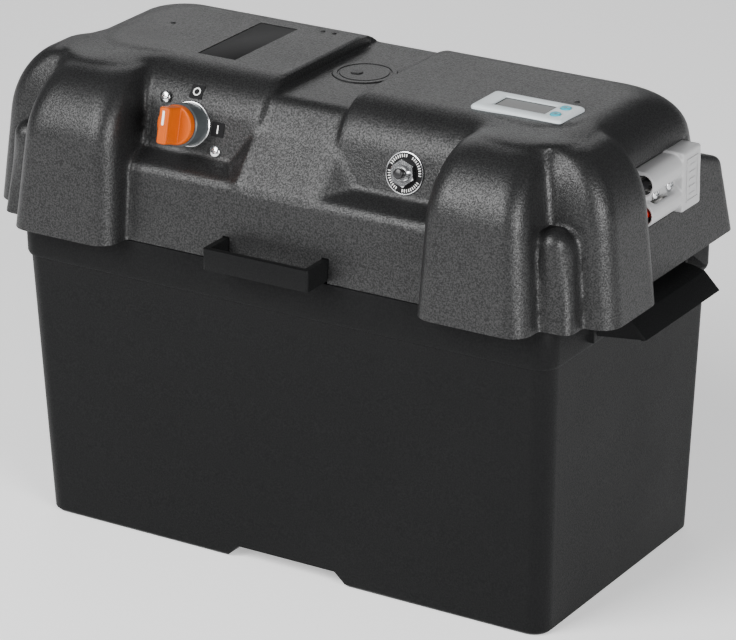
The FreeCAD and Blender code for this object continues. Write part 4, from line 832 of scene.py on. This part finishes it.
nut_shape, bore_shape = bmesh.new(), bmesh.new()
nut_corner = 14.0 / math.sqrt(3)
drum(nut_shape, at_origin, nut_corner * MM, 1.0 * MM, 4.2 * MM, 6)
drum(bore_shape, at_origin, 5.02 * MM, 0.0, 6 * MM, 48)
cone_mesh = turned([(0, 0.6), (7.3, 0.6), (8.3, 1.35), (8.3, 3.7), (7.1, 4.4), (0, 4.4)], at_origin, 64)
nut_raw = in_scene("nut_raw", as_mesh(nut_shape, "nut_raw"))
nut_bore = in_scene("nut_bore", as_mesh(bore_shape, "nut_bore"))
nut_turning = in_scene("nut_turning", cone_mesh)
machine(nut_raw, nut_turning, "INTERSECT")
machine(nut_raw, nut_bore)
nut_mesh = finished_mesh(nut_raw, nut_turning, nut_bore)
nut_mesh.transform(breaker_frame @ Matrix.Rotation(math.radians(12), 4, "Z"))
piece("breaker_nut_hexagon", shade(nut_mesh, 18), screw_chrome, "lid", "screw_chrome", "breaker_nut")

thread, thread_pitch = [(3.45, 6.2), (4.7, 6.2)], 0.55
for n in range(9):
    thread += [(5.0, 5.9 - n * thread_pitch), (4.72, 5.62 - n * thread_pitch)]
thread += [(4.9, 0.8), (4.9, -3.9), (3.45, -3.9)]
piece("breaker_bush_threaded", shade(turned(thread, breaker_frame, 64)), screw_chrome, "lid", "screw_chrome",
      "breaker_bushing")
button_black = moulded_plastic("button_black", (0.012, 0.012, 0.013), 0.28, 0.4 * MM, 0.04, specular=0.5)
reset_profile = [(0, 9.2), (1.6, 9.15), (2.6, 8.9), (3.1, 8.5), (3.3, 7.9), (3.3, -9.9), (0, -9.9)]
piece("breaker_button_moulded", shade(turned(reset_profile, breaker_frame, 48), 50), button_black,
      "breaker_reset", "button_black", "breaker_button")

# -------------------- meter
# A panel meter clipped into the top: a light grey bezel, a grey pane in a black surround over a
# display that is off, and two teal keys with arrows. Nothing is printed on it.

bezel_low, bezel_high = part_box("meter_bezel")
window_low, window_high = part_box("meter_window")
bezel_grey = moulded_plastic("bezel_grey", (0.60, 0.65, 0.67), 0.36, 0.4 * MM, 0.06, mottle=0.03)
line_grey = moulded_plastic("line_grey", (0.16, 0.17, 0.18), 0.4, 0.3 * MM, 0.05)


def level_outline(low, high, radius, height, steps=6):
    """Points round a level rectangle with round corners, anticlockwise, in metres."""
    points = []
    corners = ((high.x, high.y, 0), (low.x, high.y, 90), (low.x, low.y, 180), (high.x, low.y, 270))
    for x, y, turn in corners:
        sign_x = 1 if x == high.x else -1
        sign_y = 1 if y == high.y else -1
        for n in range(steps + 1):
            a = math.radians(turn + 90 * n / steps)
            points.append((x - sign_x * radius + radius * math.cos(a),
                           y - sign_y * radius + radius * math.sin(a), height))
    return points


def inset(low, high, by):
    return Vector((low.x + by, low.y + by, 0)), Vector((high.x - by, high.y - by, 0))


outer_steps = ((0.0, 0.0, 2.4), (0.0, 1.1, 2.4), (0.5, 1.9, 2.3), (1.4, 2.45, 2.0), (2.4, 2.6, 1.6))
inner_steps = ((-0.5, 2.6, 0.8), (-0.25, 2.5, 0.6), (0.0, 2.2, 0.5), (0.0, 0.0, 0.5))
bezel_rings = [level_outline(*inset(low, high, by * MM), radius * MM, bezel_low.z + rise * MM)
               for low, high, steps in ((bezel_low, bezel_high, outer_steps),
                                        (window_low, window_high, inner_steps))
               for by, rise, radius in steps]
bezel_shape = bmesh.new()
bezel_verts = [[bezel_shape.verts.new(point) for point in ring] for ring in bezel_rings]
for lower, upper in zip(bezel_verts, bezel_verts[1:] + bezel_verts[:1]):
    for n in range(len(lower)):
        m = (n + 1) % len(lower)
        bezel_shape.faces.new((lower[n], lower[m], upper[m], upper[n]))
key_boxes = {node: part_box(node) for node in ("meter_button_upper", "meter_button_lower")}
key_holes = bmesh.new()
for low, high in key_boxes.values():
    centre = Matrix.Translation(((low.x + high.x) / 2, (low.y + high.y) / 2, 0))
    drum(key_holes, centre, 3.35 * MM, bezel_low.z - 0.001, bezel_high.z + 0.001, 40)
bezel_raw = in_scene("bezel_raw", as_mesh(bezel_shape, "bezel_raw"))
key_tool = in_scene("key_holes", as_mesh(key_holes, "key_holes"))
machine(bezel_raw, key_tool)
piece("meter_bezel_moulded", shade(finished_mesh(bezel_raw, key_tool)), bezel_grey, "lid", "bezel_grey",
      "meter_bezel")

key_teal = moulded_plastic("key_teal", (0.03, 0.36, 0.46), 0.32, 0.4 * MM, 0.04, mottle=0.05)
key_profile = [(0, 3.25), (1.2, 3.3), (2.2, 3.48), (2.7, 3.5), (3.1, 3.2), (3.1, 0.7), (1.2, 0.7),
               (1.2, -3.4), (0, -3.4)]
for number, (node, (low, high)) in enumerate(key_boxes.items()):
    at_key = Matrix.Translation(((low.x + high.x) / 2, (low.y + high.y) / 2, bezel_low.z))
    body = node.replace("button", "key")
    piece(node + "_cap", shade(turned(key_profile, at_key, 40), 50), key_teal, body, "button_teal", node)
    arrow = bmesh.new()
    tip = 1 if number == 0 else -1
    corners = [arrow.verts.new((x * MM, y * tip * MM, 3.31 * MM))
               for x, y in ((-1.1, -0.6), (1.1, -0.6), (0, 0.9))]
    lift(arrow, corners, 0.08 * MM)
    arrow.transform(at_key)
    piece(node + "_arrow", as_mesh(arrow, "arrow"), line_grey, body, "moulding_black")

pane_grey = moulded_plastic("pane_grey", (0.05, 0.052, 0.051), 0.3, 0.4 * MM, 0.02, specular=0.2, mottle=0.08)
set_inputs(pane_grey.node_tree.nodes["Principled BSDF"], Coat_Weight=0.12, Coat_Roughness=0.12)
pane_shape = bmesh.new()
edge = 0.9 * MM
pane_low, pane_high = window_low + Vector((1, 1, 0)) * edge, window_high - Vector((1, 1, 0.35)) * edge
box_mesh(pane_shape, pane_low, pane_high)
bmesh.ops.bevel(pane_shape, geom=list(pane_shape.edges), offset=0.15 * MM, segments=2, affect="EDGES")
piece("meter_window_pane", shade(as_mesh(pane_shape, "pane")), pane_grey, "lid", "meter_glass",
      "meter_window")


def four_rails(a_low, a_high, b_low, b_high, rail):
    """The rails of a rectangular frame: the low and high ends of each, both ways."""
    return ((a_low, a_high, b_low, b_low + rail), (a_low, a_high, b_high - rail, b_high),
            (a_low, a_low + rail, b_low + rail, b_high - rail),
            (a_high - rail, a_high, b_low + rail, b_high - rail))


surround = bmesh.new()
surround_top = pane_high.z - 0.05 * MM
for x_a, x_b, y_a, y_b in four_rails(window_low.x, window_high.x, window_low.y, window_high.y, edge):
    box_mesh(surround, (x_a, y_a, window_low.z), (x_b, y_b, surround_top))
piece("meter_window_surround", as_mesh(surround, "surround"), film_black, "lid", "plate_black")

# -------------------- connectors
# A grey genderless twin-pole connector on each end, moulded in polycarbonate, held by two screws
# in the groove between its barrels. Silvered contacts sit in the barrels.

housing_low, housing_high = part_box("right_connector_housing")
contact_low, contact_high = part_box("right_connector_contacts")
pole_x = (contact_low.x + contact_high.x) / 2 / MM
pole_low, pole_high = contact_low.z / MM + 4.6, contact_high.z / MM - 4.6
block_length, web_thickness = 22.0, 7.6


def connector_field(x, y, z):
    """A connector housing on the right end: a web with two round-backed barrels and an end block."""
    inner, outer = housing_low.x / MM, housing_high.x / MM
    front, back = housing_low.y / MM, housing_high.y / MM
    low, high = housing_low.z / MM, housing_high.z / MM
    step = back - block_length
    block = soft_max(level_box(x, z, inner - 6, outer, low, high, 1.6), np.maximum(step - y, y - back), 1.4)
    web = np.maximum(level_box(x, z, inner - 6, inner + web_thickness, low + 4, high - 4, 1.0),
                     np.maximum(front - y, y - back + 1))
    body = soft_min(block, web, 1.0)
    for pole, sign in ((pole_low, -1), (pole_high, 1)):
        barrel = level_box(x, z, inner - 12, outer - 0.2, pole - 7.7, pole + 7.7, 7.0)
        draft = soft_max(barrel, np.maximum(front - y, y - back + 1), 1.2)
        body = soft_min(body, draft, 1.0)
        bore = np.hypot(x - pole_x - 0.2, z - pole) - 5.7
        body = soft_max(body, -np.maximum(bore, y - front - 24), 0.5)
        mouth = level_box(x, z, pole_x - 4.3, pole_x + 4.3, pole - 6, pole + 6, 1.4)
        body = soft_max(body, -np.maximum(mouth, back - 19 - y), 0.5)
    groove = level_box(y, z, front + 5, step - 3, (low + high) / 2 - 3.9, (low + high) / 2 + 3.9, 3.8)
    body = soft_max(body, -np.maximum(groove, inner + web_thickness - x), 0.8)
    return soft_max(body, inner - x, 0.6)


def connector_mesh(sign):
    """The housing for the right end, or mirrored for the left."""
    around, step = 1.5, 0.62
    spots, quads = skin(connector_field, [side / MM - around for side in housing_low],
                        [side / MM + around for side in housing_high], step)
    spots = settle(connector_field, spots)
    spots[:, 0] *= sign
    mesh = bpy.data.meshes.new("connector_moulding")
    mesh.from_pydata((spots * MM).tolist(), [], (quads if sign > 0 else quads[:, ::-1]).tolist())
    return shade(mesh, 40)


connector_grey = moulded_plastic("connector_grey", (0.36, 0.36, 0.363), 0.4, 0.4 * MM, 0.08, mottle=0.04)
panel_ends, panel_sides = (18.0 * MM, 4.0 * MM), 5.0 * MM
rail, bar_half, bar_inset = 1.3 * MM, 0.6 * MM, 3.6 * MM
head_radius, head_room = 3.8 * MM, 2.4 * MM
screw_for_connector = cross_screw("connector_screw", 3.8, 2.2, 1.95, 8.0)
connector_tree = seated_copies("screws_in_connectors", screw_for_connector, screw_chrome)
for end, sign in (("right", 1), ("left", -1)):
    housing = f"{end}_connector_housing"
    low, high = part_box(housing)
    piece(housing + "_moulded", connector_mesh(sign), connector_grey, "lid", "connector_grey", housing)
    outer = high.x if sign > 0 else low.x
    panel = bmesh.new()
    y_low, y_high = [high.y - end_inset for end_inset in panel_ends]
    z_low, z_high = low.z + panel_sides, high.z - panel_sides
    edges = sorted((outer - sign * 0.5 * MM, outer + sign * 0.45 * MM))
    for y_a, y_b, z_a, z_b in four_rails(y_low, y_high, z_low, z_high, rail):
        box_mesh(panel, (edges[0], y_a, z_a), (edges[1], y_b, z_b))
    for n in range(5):
        z_bar = z_low + (n + 1) * (z_high - z_low) / 6
        box_mesh(panel, (edges[0], y_low + bar_inset, z_bar - bar_half),
                 (edges[1], y_high - bar_inset, z_bar + bar_half))
    bmesh.ops.bevel(panel, geom=list(panel.edges), offset=0.15 * MM, segments=2, affect="EDGES")
    piece(f"{end}_connector_raised_panel", shade(as_mesh(panel, "panel")), connector_grey, "lid",
          "connector_grey")
    screw_low, screw_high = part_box(f"{end}_connector_screws")
    seat_x = screw_high.x - head_room if sign > 0 else screw_low.x + head_room
    middle_z = (low.z + high.z) / 2
    spots = [Matrix.Translation((seat_x, y, middle_z)) @ Matrix.Rotation(sign * math.pi / 2, 4, "Y")
             for y in (screw_low.y + head_radius, screw_high.y - head_radius)]
    mesh = grown(f"{end}_connector_screws_grown", connector_tree, seats(spots), {"Scale": 1.0})
    piece(f"{end}_connector_screws_pan", mesh, screw_chrome, "lid", "screw_chrome", f"{end}_connector_screws")
for source in (panel_screw, screw_for_connector, mark_source):
    bpy.data.objects.remove(source)

# -------------------- what the lid holds inside
# The backs of the isolator, breaker and meter, the negative post, the terminals and the leads.
# Their CAD solids have their true shape, so they keep it and are given their finishes.

moulding_black = moulded_plastic("moulding_black", (0.014, 0.014, 0.015), 0.45, 0.5 * MM, 0.2)
steel_zinc = metal("steel_zinc", (0.62, 0.63, 0.64), 0.32)
brass = metal("brass", (0.74, 0.53, 0.26), 0.28)
silver = metal("silver_plate", (0.82, 0.81, 0.78), 0.24)
board_green = moulded_plastic("board_green", (0.02, 0.11, 0.045), 0.35, 1.2 * MM, 0.3)
cell_grey = moulded_plastic("cell_grey", (0.115, 0.125, 0.12), 0.25, 0.5 * MM, 0.03, mottle=0.05)
rubber = moulded_plastic("grommet_rubber", (0.012, 0.012, 0.012), 0.6, 0.6 * MM, 0.15, specular=0.3)
lead_red = moulded_plastic("lead_red", (0.62, 0.018, 0.008), 0.38, 0.8 * MM, 0.1, mottle=0.06)
lead_black = moulded_plastic("lead_black", (0.011, 0.011, 0.012), 0.38, 0.8 * MM, 0.1)
kept_finishes = (
    (moulding_black, "isolator_body breaker_body meter_body negative_post_base"),
    (steel_zinc, "isolator_shaft isolator_screw_nuts isolator_stud_nuts breaker_lock_washer"),
    (steel_zinc, "right_connector_nuts left_connector_nuts negative_post_nut"),
    (brass, "isolator_studs isolator_lug breaker_clamps negative_post_stud negative_clamp"),
    (board_green, "meter_board"),
    (cell_grey, "meter_display_cell"),
    (silver, "right_connector_contacts left_connector_contacts"),
    (rubber, "right_lead_grommets left_lead_grommets"),
    (lead_red, "right_red_lead left_red_lead link_lead"),
    (lead_black, "right_black_lead left_black_lead"))
for finish, node_names in kept_finishes:
    for node in node_names.split():
        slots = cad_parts[node].data.materials
        slots.clear()
        slots.append(finish)
